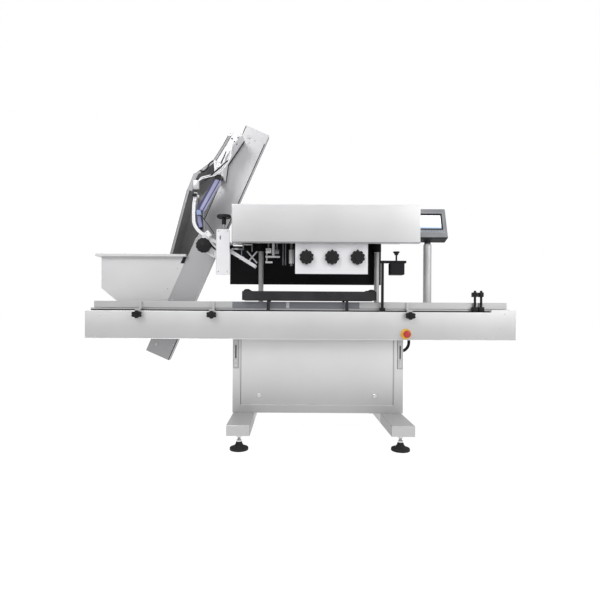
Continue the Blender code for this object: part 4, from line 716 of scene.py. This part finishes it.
def touch_panel():
    swivel = Matrix.Translation((PANEL_X + SHIFT, -0.095, 1.142))
    panel = swivel @ Matrix.Translation((0, -0.055, 0.027)) @ Matrix.Rotation(
        math.radians(-18), 4, "X")
    bezel = ext(round_box((-0.1045, 0.003), (0.1045, 0.192), 0.007), "Y", -0.0035, 0.0005, 0.001)
    keys = [bx((x - 0.0068, -0.0047, 0.036), (x + 0.0068, -0.0033, 0.0455), 0.0012)
            for x in [-0.07 + 0.0175 * k for k in range(9)]]
    fins = [bar((x - 0.0012, 0.0655, 0.045), (x + 0.0012, 0.0672, 0.15), 0.0004)
            for x in [-0.06 + 0.01 * k for k in range(13)]]
    for name, material, shapes in (
        ("panel_bezel", BEZEL, [bezel]),
        ("panel_trims", GREY,
         border(0.088, 0.0015, (0.032, 0.0335), (0.1655, 0.1672), -0.0041, -0.0033, 0.0002)),
        ("screen_rim", BLACK_GLOSS,
         border(0.081, 0.009, (0.052, 0.061), (0.148, 0.16), -0.005, -0.0031, 0.0005)),
        ("screen_glass", SCREEN,
         [bar((-0.0722, -0.004, 0.0608), (0.0722, -0.0033, 0.1482), 0.0002)]),
        ("panel_keys", KEYS, keys),
        ("panel_vents", BEZEL, fins),
    ):
        piece(name, "touch_panel", material, shapes, base=panel)


touch_panel()


# Stop button


def stop_button():
    x, z = 0.588, 0.605
    face = SKIRT_FACE - 0.0003
    seat = face - 0.0183
    head = [(0, face - 0.006), (0.007, face - 0.006), (0.007, seat), (0.0175, seat),
            (0.02, seat - 0.002), (0.0205, seat - 0.006), (0.0203, seat - 0.0105),
            (0.0185, seat - 0.0145), (0.015, seat - 0.017), (0.009, seat - 0.0183),
            (0, seat - 0.0186)]
    piece("stop_mushroom", "stop_button", RED, [rev(head, "Y", (x, 0, z), 48)],
          replaces=["stop_button"])


stop_button()


# Fasteners along the skirts and the brackets, and the trim of the door and the hood


def skirt_screws():
    shapes = [button_screw((x, SKIRT_FACE, z), "-Y", radius, 0.0022) for x, z, radius in (
        (-1.193, 0.722, 0.0026), (-1.196, 0.582, 0.0035), (-1.139, 0.582, 0.0035),
        (1.014, 0.713, 0.0028), (1.034, 0.713, 0.0028), (1.138, 0.718, 0.003),
        (0.966, 0.58, 0.003), (1.014, 0.58, 0.003), (1.034, 0.582, 0.003),
        (1.077, 0.582, 0.003), (-1.116, 0.7, 0.003), (1.116, 0.64, 0.003))]
    for dx, dz in CORNERS:
        shapes += [button_screw((-1.116 + 0.022 * dx, SKIRT_BACK, 0.669 + 0.022 * dz), "Y",
                                0.004, 0.003),
                   socket_screw((1.116 + 0.0418 * dx, -0.0197, 0.669 + 0.0418 * dz), "Y",
                                0.0045, 0.004)]
    piece("skirt_screws", "machine", ZINC, shapes)


skirt_screws()


def bracket_bolts():
    bolts, faces, backs = [], [], []
    for x in BRACKETS_X:
        bolts += [hex_head((x, -0.231, z), "-Y", 0.01, 0.0055) for z in (0.441, 0.42)]
        bolts.append(socket_screw((x, -0.231, 0.552), "-Y", 0.004, 0.004))
        faces += [slab(round_box((x - 0.0118, 0.4022), (x + 0.0118, 0.564), 0.002, 2),
                       -0.2316, -0.2309, 0.0002),
                  slab(round_box((x - 0.0062, 0.453), (x + 0.0062, 0.537), 0.006),
                       -0.2325, -0.2315, 0.0003)]
        # Painted shade: dark plates behind each bar and its slot, for the shadow lines round
        # them.
        backs += [bar((x - 0.015, -0.2262, 0.399), (x + 0.015, -0.2251, 0.565)),
                  slab(round_box((x - 0.0036, 0.456), (x + 0.0036, 0.534), 0.0035),
                       -0.2328, -0.2322, 0.0001)]
    piece("bracket_bolts", "machine", ZINC, bolts)
    piece("bracket_faces", "machine", STEEL, faces)
    piece("bracket_shadow_backs", "machine", RUBBER, backs)


bracket_bolts()


def door_trim():
    """Bright folded edges and dark seals round the door."""
    left, right, low, high = -0.341, 0.541, 0.1883, 0.5645
    piece("door_gasket", "machine", RUBBER,
          [bar((x, -0.2235, low), (x + 0.0022, -0.2195, high))
           for x in (left + 0.0002, right - 0.0024)])
    rim = [bar((x, -0.2259, low - 0.002), (x + 0.002, -0.2248, high - 0.002))
           for x in (left - 0.0075, right + 0.0055)]
    rim.append(bar((left, -0.2262, low - 0.0045), (right, -0.2249, low - 0.001)))
    piece("door_edge_folds", "machine", STEEL, rim)
    piece("door_sill_seal", "machine", WHITE,
          [bar((left + 0.003, -0.2245, low + 0.0002), (right - 0.003, -0.2205, low + 0.0024),
               0.0004)])


door_trim()


def hood_edges():
    """The hemmed lower lip, in painted shade, and the hood's corner fold, a bright strip of
    painted highlight.
    """
    piece("hood_hem", "head", STEEL_DARK,
          [pipe([(x, -0.3795, 1.1032) for x in (-0.3765, 0.6465)], 0.003, 12)])
    piece("hood_corner_highlight", "head", HIGHLIGHT_EDGE,
          [bar((-0.3776, -0.3802, 1.106), (-0.373, -0.3796, 1.292), 0.0002)])
    piece("hood_screws", "head", ZINC,
          [button_screw((x, y, 1.31), "Z", 0.0045, 0.0025)
           for x in (-0.3, 0.0, 0.3, 0.57) for y in (-0.3636, 0.08)])


hood_edges()


# The chute, its guards and clamps


def chute_dressing():
    near = -0.2472
    path = rounded_path([(-0.61, 1.406), (-0.621, 1.33), (-0.622, 1.196), (-0.262, 0.976)],
                        (0.15, 0.105), 14)
    piece("chute_rail_edge", "chute", BRIGHT,
          [slab(sheet(offset_path(path, 0.0002), 0.0045), near - 0.0022, near - 0.0001, 0.0004)])
    piece("chute_shade_plate", "chute", OLIVE,
          [slab([(-0.601, 1.205), (-0.601, 1.386), (-0.592, 1.388), (-0.502, 1.476),
                 (-0.59, 1.318), (-0.584, 1.235), (-0.56, 1.185), (-0.585, 1.19)],
                -0.189, -0.1882)])
    piece("chute_top_clamp", "chute", BLACK,
          [bx((-0.618, near - 0.012, 1.38), (-0.594, near - 0.0002, 1.398), 0.002)])
    band = [(-0.486, 1.484), (-0.466, 1.478), (-0.564, 1.301), (-0.579, 1.309)]
    piece("chute_band", "chute", LAVENDER, [slab(band, near - 0.0015, -0.2435, 0.0005)])
    seam = [(-0.466, 1.478), (-0.4605, 1.476), (-0.558, 1.297), (-0.564, 1.301)]
    piece("chute_band_seam", "chute", INDIGO_DARK, [slab(seam, near - 0.0018, -0.2438, 0.0004)])
    flap = [(-0.4605, 1.476), (-0.454, 1.47), (-0.549, 1.297), (-0.558, 1.297)]
    piece("chute_band_flap", "chute", LAVENDER, [slab(flap, near - 0.0012, -0.2438, 0.0004)])
    piece("chute_band_cap", "head", BLACK_GLOSS,
          [slab([(-0.493, 1.506), (-0.456, 1.506), (-0.456, 1.486), (-0.459, 1.474),
                 (-0.493, 1.483)], near - 0.0065, near - 0.0024),
           bar((-0.485, near - 0.003, 1.501), (-0.46, near - 0.0005, 1.505))])
    piece("chute_blue_clamp", "chute", BLUE,
          [slab([(-0.5945, 1.302), (-0.57, 1.302), (-0.568, 1.275), (-0.593, 1.275)],
                near - 0.01, -0.244, 0.0015)])
    piece("chute_lower_band", "chute", INDIGO,
          [slab([(-0.5915, 1.272), (-0.5735, 1.272), (-0.569, 1.24), (-0.562, 1.212),
                 (-0.578, 1.205), (-0.588, 1.235)], near - 0.0012, -0.2435, 0.0005)])
    black = [rods([(-0.573, 1.274), (-0.56, 1.262), (-0.53, 1.222), (-0.492, 1.168)],
                  near - 0.006, 0.0022)]
    black.append(slab([(-0.517, 1.103), (-0.511, 1.11), (-0.481, 1.08), (-0.487, 1.073)],
                      -0.26, -0.2524))
    piece("chute_dark_rods", "chute", BLACK_GLOSS, black)
    block = [slab([(-0.549, 1.168), (-0.529, 1.189), (-0.504, 1.16), (-0.522, 1.138)],
                  -0.262, -0.2524, 0.0015),
             slab([(-0.55, 1.064), (-0.545, 1.073), (-0.469, 1.028), (-0.474, 1.019)],
                  -0.259, -0.2524, 0.001),
             slab([(-0.53, 1.088), (-0.499, 1.08), (-0.496, 1.046), (-0.523, 1.052)],
                  -0.256, -0.2524, 0.001)]
    piece("chute_clamp_block", "chute", WHITE, block)
    piece("chute_screws", "chute", ZINC,
          front_screws([(-0.534, 1.172), (-0.517, 1.153)], -0.2618, 0.0042)
          + front_screws([(-0.46, 1.05), (-0.46, 1.032)], -0.2523, 0.004)
          + [socket_screw((-0.604, near - 0.0002, z), "-Y", 0.003, 0.003)
             for z in (1.355, 1.29)])


chute_dressing()


def chute_head_dressing():
    face = -0.2475
    plates = [slab([(-0.423, 1.728), (-0.408, 1.751), (-0.386, 1.751), (-0.398, 1.728)],
                   face - 0.004, face - 0.0002),
              slab([(-0.365, 1.735), (-0.35, 1.752), (-0.332, 1.748), (-0.345, 1.722)],
                   face - 0.004, face - 0.0002),
              slab([(-0.486, 1.552), (-0.478, 1.574), (-0.452, 1.566), (-0.458, 1.544)],
                   face - 0.005, face - 0.0002)]
    plates.append(rods([(-0.583, 1.47), (-0.575, 1.483), (-0.5614, 1.4915), (-0.4928, 1.5087),
                        (-0.456, 1.538), (-0.4241, 1.5774), (-0.404, 1.625),
                        (-0.3898, 1.6918)], face - 0.0045, 0.0032))
    plates.append(rods([(-0.59, 1.462), (-0.56, 1.4815), (-0.49, 1.4985), (-0.444, 1.533),
                        (-0.415, 1.572), (-0.396, 1.62)], face - 0.012, 0.0026))
    piece("chute_head_rails", "head", BRIGHT, plates)
    dark = [rods([(-0.5786, 1.5306), (-0.556, 1.528), (-0.54, 1.54), (-0.524, 1.574),
                  (-0.4985, 1.5935), (-0.488, 1.597)], -0.24, 0.0042),
            slab([(-0.432, 1.636), (-0.426, 1.64), (-0.461, 1.553), (-0.468, 1.556)],
                 face - 0.003, face - 0.0002),
            slab([(-0.4185, 1.5895), (-0.4155, 1.5835), (-0.545, 1.4665), (-0.5505, 1.472)],
                 face - 0.009, face - 0.006)]
    dark += [rod("Y", (x, 0, z), r, face - 0.0012, face - 0.0002, 20, 0.0002)
             for x, z, r in ((-0.395, 1.713, 0.0046), (-0.361, 1.719, 0.0042),
                             (-0.381, 1.696, 0.004), (-0.367, 1.682, 0.0036))]
    side = [(-0.499, 1.594), (-0.4415, 1.686), (-0.4075, 1.749)]
    far_side = [(-0.448, 1.5005), (-0.434, 1.604), (-0.338, 1.749)]
    dark += [edge_strip(side, 0.0024, 0.0022, face - 0.0026, face - 0.0002),
             edge_strip(side, 0.0165, 0.0016, face - 0.0026, face - 0.0002),
             edge_strip(far_side, 0.0024, 0.002, -0.124, -0.106)]
    piece("chute_head_darks", "head", BLACK, dark)
    # Painted shade: the fold takes the shaded stainless.
    piece("chute_head_fold", "head", STEEL_DARK,
          [edge_strip(side, 0.0147, 0.0121, face - 0.002, face - 0.0002)])
    greys = [slab([(-0.492, 1.582), (-0.425, 1.575), (-0.46, 1.505), (-0.47, 1.495)],
                  face - 0.0022, face - 0.0002)]
    greys.append(bx((-0.612, -0.262, 1.42), (-0.579, -0.2495, 1.472), 0.002))
    piece("chute_head_greys", "head", STEEL, greys)
    piece("chute_head_screws", "head", ZINC,
          front_screws([(-0.47, 1.56), (-0.404, 1.741), (-0.347, 1.738)], face - 0.0048, 0.0036)
          + front_screws([(-0.604, 1.462), (-0.587, 1.432)], -0.2619, 0.0042))


chute_head_dressing()


def post_dressing():
    y = -0.3
    piece("post_screws", "head", ZINC,
          front_screws([(-0.463, 1.176), (-0.411, 1.176), (-0.463, 0.95),
                        (-0.411, 0.95)], y, 0.005, 0.003))
    piece("post_edge_shadow", "head", BLACK,
          [bar((-0.4738, y + 0.0004, 0.934), (-0.4728, y + 0.0114, 1.182), 0.0002)])


post_dressing()


# Under and on the deck


def under_deck():
    """The cap-stabiliser arms, clamps and guides that hang behind the chute's end."""
    y = -0.165

    def block(left, right, low, high, half, bevel, steps=2):
        return bx((left, y - half, low), (right, y + half, high), bevel, steps)

    pale = [slab([(-0.416, 1.119), (-0.416, 1.13), (-0.382, 1.13), (-0.283, 1.1215),
                  (-0.283, 1.1165), (-0.382, 1.118)], y - 0.006, y + 0.006),
            block(-0.404, -0.364, 1.09, 1.0985, 0.008, 0.001),
            slab([(-0.318, 1.08), (-0.31, 1.083), (-0.25, 1.013), (-0.258, 1.009)],
                 y - 0.006, y + 0.001),
            slab([(-0.258, 1.083), (-0.25, 1.079), (-0.31, 1.009), (-0.318, 1.013)],
                 y - 0.001, y + 0.006),
            block(-0.203, -0.17, 1.07, 1.0985, 0.014, 0.002),
            rod("Z", (-0.158, y, 0), 0.0085, 1.05, 1.164, 24),
            block(-0.204, -0.12, 1.044, 1.0535, 0.015, 0.001),
            block(-0.204, -0.163, 1.012, 1.0215, 0.015, 0.001),
            block(-0.1995, -0.194, 1.0215, 1.07, 0.004, 0.0005, 1),
            rev([(0.009, 1.01), (0.015, 1.01), (0.0155, 1.012), (0.0155, 1.089),
                 (0.015, 1.091), (0.009, 1.091), (0.009, 1.01)], "Z", (-0.051, y, 0), 32)]
    piece("stabiliser_arms", "head", BRIGHT, pale)
    # Painted shade: the grey rods take the shaded stainless, as they stand under the deck.
    grey = [block(-0.148, -0.124, 1.066, 1.092, 0.012, 0.0015),
            block(-0.34, -0.332, 1.0983, 1.164, 0.009, 0.001),
            block(-0.364, -0.332, 1.09, 1.099, 0.006, 0.0008),
            block(-0.287, -0.281, 1.079, 1.164, 0.005, 0.0008)]
    grey += [rod("Z", (x, y, 0), radius, low, 1.164, steps) for x, radius, low, steps in (
        (-0.187, 0.005, 1.098, 16), (-0.136, 0.0045, 1.0915, 16), (-0.101, 0.0035, 1.0, 16),
        (-0.086, 0.0035, 1.0, 16), (-0.051, 0.008, 0.996, 20))]
    piece("stabiliser_rods", "head", STEEL_DARK, grey)
    piece("stabiliser_block", "head", BLUE_PALE,
          [block(-0.36, -0.331, 1.033, 1.051, 0.01, 0.0015),
           block(-0.348, -0.343, 1.0505, 1.0905, 0.003, 0.0004, 1)])
    piece("stabiliser_screws", "head", ZINC,
          front_screws([(-0.284, 1.046), (-0.195, 1.084), (-0.18, 1.084), (-0.19, 1.049),
                        (-0.14, 1.049), (-0.136, 1.079)], y - 0.0145, 0.003)
          + front_screws([(-0.29, 1.119), (-0.245, 1.129), (-0.4, 1.1245)], y - 0.0062,
                         0.0034))


under_deck()


def belt_loop(left, right, y, radius, thickness, low, high):
    """A flat belt round two wheels, as one closed band."""
    inner, outer = (arc((right, y), reach, -90, 90, 16) + arc((left, y), reach, 90, 270, 16)
                    for reach in (radius, radius + thickness))
    shape = loose()
    rings = [[shape.verts.new((x, v, z)) for x, v in loop]
             for loop, z in ((inner, low), (outer, low), (outer, high), (inner, high))]
    skin(shape, rings + rings[:1])
    bmesh.ops.recalc_face_normals(shape, faces=shape.faces)
    return shape


def on_deck():
    belts = [belt_loop(STATIONS[0], STATIONS[2], y, 0.0244, 0.0026, DECK_TOP + 0.003,
                       DECK_TOP + 0.016) for y in (-0.267, -0.173)]
    piece("spindle_belts", "head", GREEN, belts)
    blocks = [bx((x - 0.026, -0.132, DECK_TOP), (x + 0.026, -0.1, DECK_TOP + 0.022), 0.002)
              for x in STATIONS]
    piece("belt_tensioners", "head", ALUMINIUM, blocks)
    screws = [hex_head((x, -0.116, DECK_TOP + 0.022), "Z", 0.01, 0.007) for x in STATIONS]
    screws += [hex_head((x, y, DECK_TOP), "Z", 0.01, 0.006)
               for x in (-0.34, -0.18, 0.38, 0.6) for y in (-0.34, 0.05)]
    screws += [hex_head((x, 0.0795, z), "Y", 0.01, 0.006)
               for x in (-0.36, -0.16, 0.06, 0.28, 0.48) for z in (0.93, 1.09)]
    piece("deck_screws", "head", ZINC, screws)
    fins = [ring("Y", (0.475, 0, 1.2223), 0.03, 0.0405, v, v + 0.0022)
            for v in [-0.1 + 0.0085 * k for k in range(14)]]
    fins += [bx((0.447, -0.06, 1.256), (0.503, 0.0, 1.288), 0.004),
             rod("X", (0, -0.03, 1.272), 0.007, 0.503, 0.52, 20)]
    piece("head_motor_fins", "head", ALUMINIUM, fins)


on_deck()


# Elevator and hopper


def elevator_dressing():
    screws = [button_screw((x, 0, z), "-Y", 0.0042, 0.0028)
              for x, z in ((0.0841, 1.4238), (0.0598, 1.3965), (0.0211, 1.0561),
                           (0.033, 1.048), (0.025, 0.7), (0.025, 0.34),
                           (0.135, 0.1), (0.135, 0.55), (0.135, 1.0))]
    caps = []
    for z in (0.06, 1.43):
        flange = round_box((0.045 - 0.024, z - 0.024), (0.045 + 0.024, z + 0.024), 0.008)
        caps.append(ext(flange, "Y", 0.2003, 0.208, 0.001, 2))
        caps.append(rod("Y", (0.045, 0, z), 0.0165, 0.206, 0.215, 32, 0.001))
        for dx, dz in CORNERS:
            screws.append(socket_screw((0.045 + 0.017 * dx, 0.208, z + 0.017 * dz), "Y",
                                       0.0035, 0.0035))
    piece("elevator_bearings", "head", ALUMINIUM, caps, base=ELEVATOR)
    screws += [button_screw((0.0966, y, z), "X", 0.0036, 0.0024)
               for z in (0.2, 0.5, 0.8, 1.1, 1.38) for y in (0.062, 0.19)]
    piece("elevator_screws", "head", ZINC, screws, base=ELEVATOR)
    # Painted shade: black lines at the back edge of the elevator and along the edges of its near
    # plate, where shade falls.
    piece("elevator_seam_shadow", "head", BLACK,
          [bar((0.1501, 0.044, 0.004), (0.1506, 0.0462, 1.486), 0.0001)], base=ELEVATOR)
    piece("elevator_edge_shadows", "head", BLACK,
          [bar((-0.0006, -0.0006, 0.75), (0.004, 0.001, 1.486)),
           bar((0.1455, -0.0007, 0.75), (0.1502, 0.001, 1.43)),
           bar((0.1455, -0.0007, 0.004), (0.1502, 0.001, 0.16))], base=ELEVATOR)
    edge = [(-0.784, 1.071), (-0.684, 1.456), (-0.644, 1.552), (-0.608, 1.576),
            (-0.508, 1.649), (-0.463, 1.74), (-0.427, 1.806)]
    # Painted shade: the cover's flange takes the shaded stainless.
    piece("front_cover_flange", "head", STEEL_DARK,
          [edge_strip(edge, 0.014, 0.0135, -0.103, -0.1008),
           slab([(-0.682, 1.463), (-0.6463, 1.5553), (-0.61, 1.573), (-0.632, 1.52),
                 (-0.654, 1.449)], -0.1037, -0.1031, 0.0002)])
    piece("front_cover_outline", "head", BLACK,
          [edge_strip(edge, 0.0004, 0.002, -0.1028, -0.1008),
           edge_strip(edge[:5], 0.016, 0.0019, -0.1028, -0.1008)])


elevator_dressing()


def hopper_dressing():
    # Painted shade: a black sheet in the gap under the flange, between the hopper and the
    # elevator.
    piece("hopper_gap_shade", "head", BLACK,
          [slab([(-0.721, 1.014), (-0.699, 1.014), (-0.683, 1.0515), (-0.705, 1.0515)],
                -0.1046, -0.1022, 0.0004)])
    places = [(x, y) for y in (-0.119, 0.119) for x in (-1.19, -1.05, -0.91, -0.78)]
    places += [(-1.212, y) for y in (-0.07, 0.0, 0.07)]
    bolts = [button_screw((x, y, 1.067), "Z", 0.004, 0.0028) for x, y in places]
    bolts += front_screws([(-0.742, 0.985), (-0.8, 0.86), (-0.86, 0.72)], -0.102, 0.004)
    piece("hopper_bolts", "head", ZINC, bolts)
    # Painted highlight: bright rods along the folds of the hopper's near wall, for the light they
    # catch.
    folds = [pipe([(-1.1975, -0.1022, 1.05), (-1.1975, -0.1022, 0.862)], 0.0014, 8),
             pipe([(-1.197, -0.1022, 0.86), (-0.88, -0.1022, 0.601)], 0.0014, 8)]
    piece("hopper_fold_highlights", "head", BRIGHT, folds)


hopper_dressing()


# Conveyor fittings


def conveyor_dressing():
    # Painted highlight: bright rods along the skirt's folded top and bottom edges, for the light
    # those folds catch.
    piece("skirt_top_fold_highlight", "machine", BRIGHT,
          [pipe([(-1.1995, -0.3146, 0.7258), (1.062, -0.3146, 0.7258)], 0.0014, 8),
           pipe([(1.065, -0.3146, 0.7398), (1.1995, -0.3146, 0.7398)], 0.0014, 8)])
    piece("skirt_bottom_fold_highlight", "machine", BRIGHT,
          [pipe([(-1.1995, -0.3146, 0.5722), (1.1995, -0.3146, 0.5722)], 0.0012, 8)])
    piece("rail_wear_strips", "machine", WHITE,
          [bar((-1.165, y, 0.75), (1.165, y + 0.0015, 0.776), 0.0006) for y in (-0.26, -0.1815)])
    # Painted shade: dark strips on the front rail where it lies in shade.
    piece("rail_shade_strips", "machine", BLUE_GREY,
          [bar((left, -0.2712, 0.7455), (right, -0.2701, 0.7805), 0.0004)
           for left, right in ((-0.385, -0.08), (-0.062, 0.335))])
    # Painted shade: the black chain guide strips give the dark line of shade above the skirt; the
    # steel strips above them fill the gap.
    for name, material, low, high in (("chain_guide_shade", BLACK, 0.7275, 0.734),
                                      ("rail_skirts", STEEL, 0.7343, 0.7437)):
        piece(name, "machine", material,
              [bar((-1.19, y - 0.0006, low), (1.19, y + 0.0006, high)) for y in (-0.264, -0.176)])
    black = []
    for x in SENSORS_X:
        black += [bx((x - 0.0146, -0.2946, 0.7275), (x + 0.0146, -0.2702, 0.7574)),
                  rod("Z", (x, -0.284, 0), 0.0066, 0.757, 0.85, 24),
                  bx((x - 0.0115, -0.2945, 0.8145), (x + 0.0115, -0.2585, 0.8405), 0.003)]
    black.append(bx((0.444, -0.3095, 0.7273), (0.474, -0.2895, 0.75), 0.0015))
    piece("sensor_covers", "machine", BLACK, black)
    piece("sensor_lenses", "machine", RED,
          [rod("Y", (x, 0, 0.8275), 0.005, -0.259, -0.2575, 20, 0.0003) for x in SENSORS_X])
    fins = [ring("X", (0, -0.0707, 0.669), 0.034, 0.0425, v, v + 0.0024)
            for v in [0.908 + 0.0095 * k for k in range(14)]]
    fins += [bx((0.93, -0.098, 0.706), (0.992, -0.044, 0.736), 0.004),
             rod("X", (0, -0.071, 0.721), 0.0075, 0.912, 0.93, 20),
             rev([(0, 0.852), (0.03, 0.852), (0.041, 0.856), (0.0435, 0.864), (0.0435, 0.9),
                  (0.041, 0.902), (0, 0.902)], "X", (0, -0.0707, 0.669), 40)]
    piece("drive_motor_fins", "machine", ALUMINIUM, fins)


conveyor_dressing()


# The back of the cabinet and of the conveyor


def rear_dressing():
    face = 0.225
    louvres = []
    for x in (-0.24, 0.3):
        for k in range(8):
            z = 0.25 + 0.026 * k
            profile = [(face + 0.0001, z), (face + 0.007, z), (face + 0.0064, z + 0.004),
                       (face + 0.0001, z + 0.012)]
            louvres.append(ext(profile, "X", x - 0.065, x + 0.065))
    piece("cabinet_louvres", "machine", STEEL_CABINET, louvres)
    piece("cabinet_rear_panel", "machine", STEEL_CABINET,
          [slab(round_box((-0.355, 0.18), (0.565, 0.545), 0.006), face + 0.0001, face + 0.0012,
                0.0003)])
    screws = [button_screw((x, face + 0.0012, z), "Y", 0.0045, 0.0028)
              for x in (-0.34, -0.12, 0.105, 0.33, 0.55) for z in (0.195, 0.53)]
    screws += [hex_head((x, -0.1157, z), "Y", 0.008, 0.005)
               for x in RAIL_STATIONS for z in (0.7, 0.724)]
    screws += [button_screw((x, SKIRT_BACK, 0.585), "Y", 0.004, 0.0026)
               for x in (-1.16, -0.8, -0.4, 0.05, 0.45, 0.7)]
    screws += [socket_screw((PANEL_X + dx, -0.065, z), "Y", 0.004, 0.004)
               for z in (0.611, 0.71) for dx in (-0.024, 0.024)]
    piece("rear_screws", "machine", ZINC, screws)
    glands = [rod("Y", (x, 0, 0.205), 0.011, 0.2262, 0.242, 24, 0.001) for x in (0.44, 0.49)]
    piece("cable_glands", "machine", BLACK, glands)


rear_dressing()


def beam_sides():
    """Thin dark sheets on the inner webs of the two foot beams: painted shade."""
    webs = [bar((low, -0.512, 0.088), (low + 0.0007, -0.226, 0.1415), 0.0002)
            for low in (-0.2618, 0.4661)]
    piece("beam_inner_side_shade", "machine", STEEL_DARK, webs)


beam_sides()


# Floor, backdrop and light


def floor():
    """A white studio floor, seen by the camera as nearly pure white with a soft shadow."""
    material = bpy.data.materials.new("studio_floor")
    material.use_nodes = True
    tree = material.node_tree
    tree.nodes.clear()
    matte = add(tree, "BsdfDiffuse", Color=(0.9, 0.9, 0.9, 1)).outputs[0]
    glow = add(tree, "Emission", Strength=1.08).outputs[0]
    path = add(tree, "LightPath").outputs
    seen = calculate(tree, "MAXIMUM", path["Is Camera Ray"], path["Is Glossy Ray"])
    mix = add(tree, "MixShader", calculate(tree, "MULTIPLY", seen, 0.9), matte, glow)
    add(tree, "OutputMaterial", Surface=mix.outputs[0])
    mesh = bpy.data.meshes.new("floor")
    shape = loose()
    bmesh.ops.create_grid(shape, x_segments=8, y_segments=8, size=30)
    shape.to_mesh(mesh)
    shape.free()
    plane = bpy.data.objects.new("floor", mesh)
    plane.data.materials.append(material)
    bpy.context.scene.collection.objects.link(plane)


floor()


def world():
    """White to the camera, and to the object a room that is brighter above."""
    scene = bpy.context.scene
    scene.world = bpy.data.worlds.new("studio")
    scene.world.use_nodes = True
    tree = scene.world.node_tree
    tree.nodes.clear()
    level = spread_to(tree, height_in(tree, "Generated"), 0.0, 1.0, -1, 1)
    room = ramp(tree, level, ((0.4, (0.52, 0.52, 0.53)), (0.75, (0.95, 0.95, 0.96))))
    soft = add(tree, "Background", Color=room, Strength=0.75).outputs[0]
    white = add(tree, "Background", Color=(1, 1, 1, 1), Strength=1.0).outputs[0]
    mix = add(tree, "MixShader", add(tree, "LightPath").outputs["Is Camera Ray"], soft, white)
    add(tree, "OutputWorld", Surface=mix.outputs[0])


world()


def lamp(name, location, target, size, power, colour=(1, 1, 1)):
    data = bpy.data.lights.new(name, "AREA")
    data.shape = "RECTANGLE"
    data.size = size[0]
    data.size_y = size[1]
    data.energy = power
    data.color = colour
    light = bpy.data.objects.new(name, data)
    light.location = location
    light.rotation_euler = (Vector(target) - Vector(location)).to_track_quat("-Z", "Y").to_euler()
    bpy.context.scene.collection.objects.link(light)


lamp("key", (-2.2, -3.2, 3.6), (0, -0.2, 0.8), (2.2, 2.2), 90)
lamp("fill", (2.6, -3.0, 2.2), (0.1, -0.2, 0.8), (2.4, 2.4), 45)
lamp("top", (0.0, 0.2, 4.2), (0, -0.1, 0.8), (3.0, 2.0), 15)

bpy.context.scene.view_settings.view_transform = "Standard"
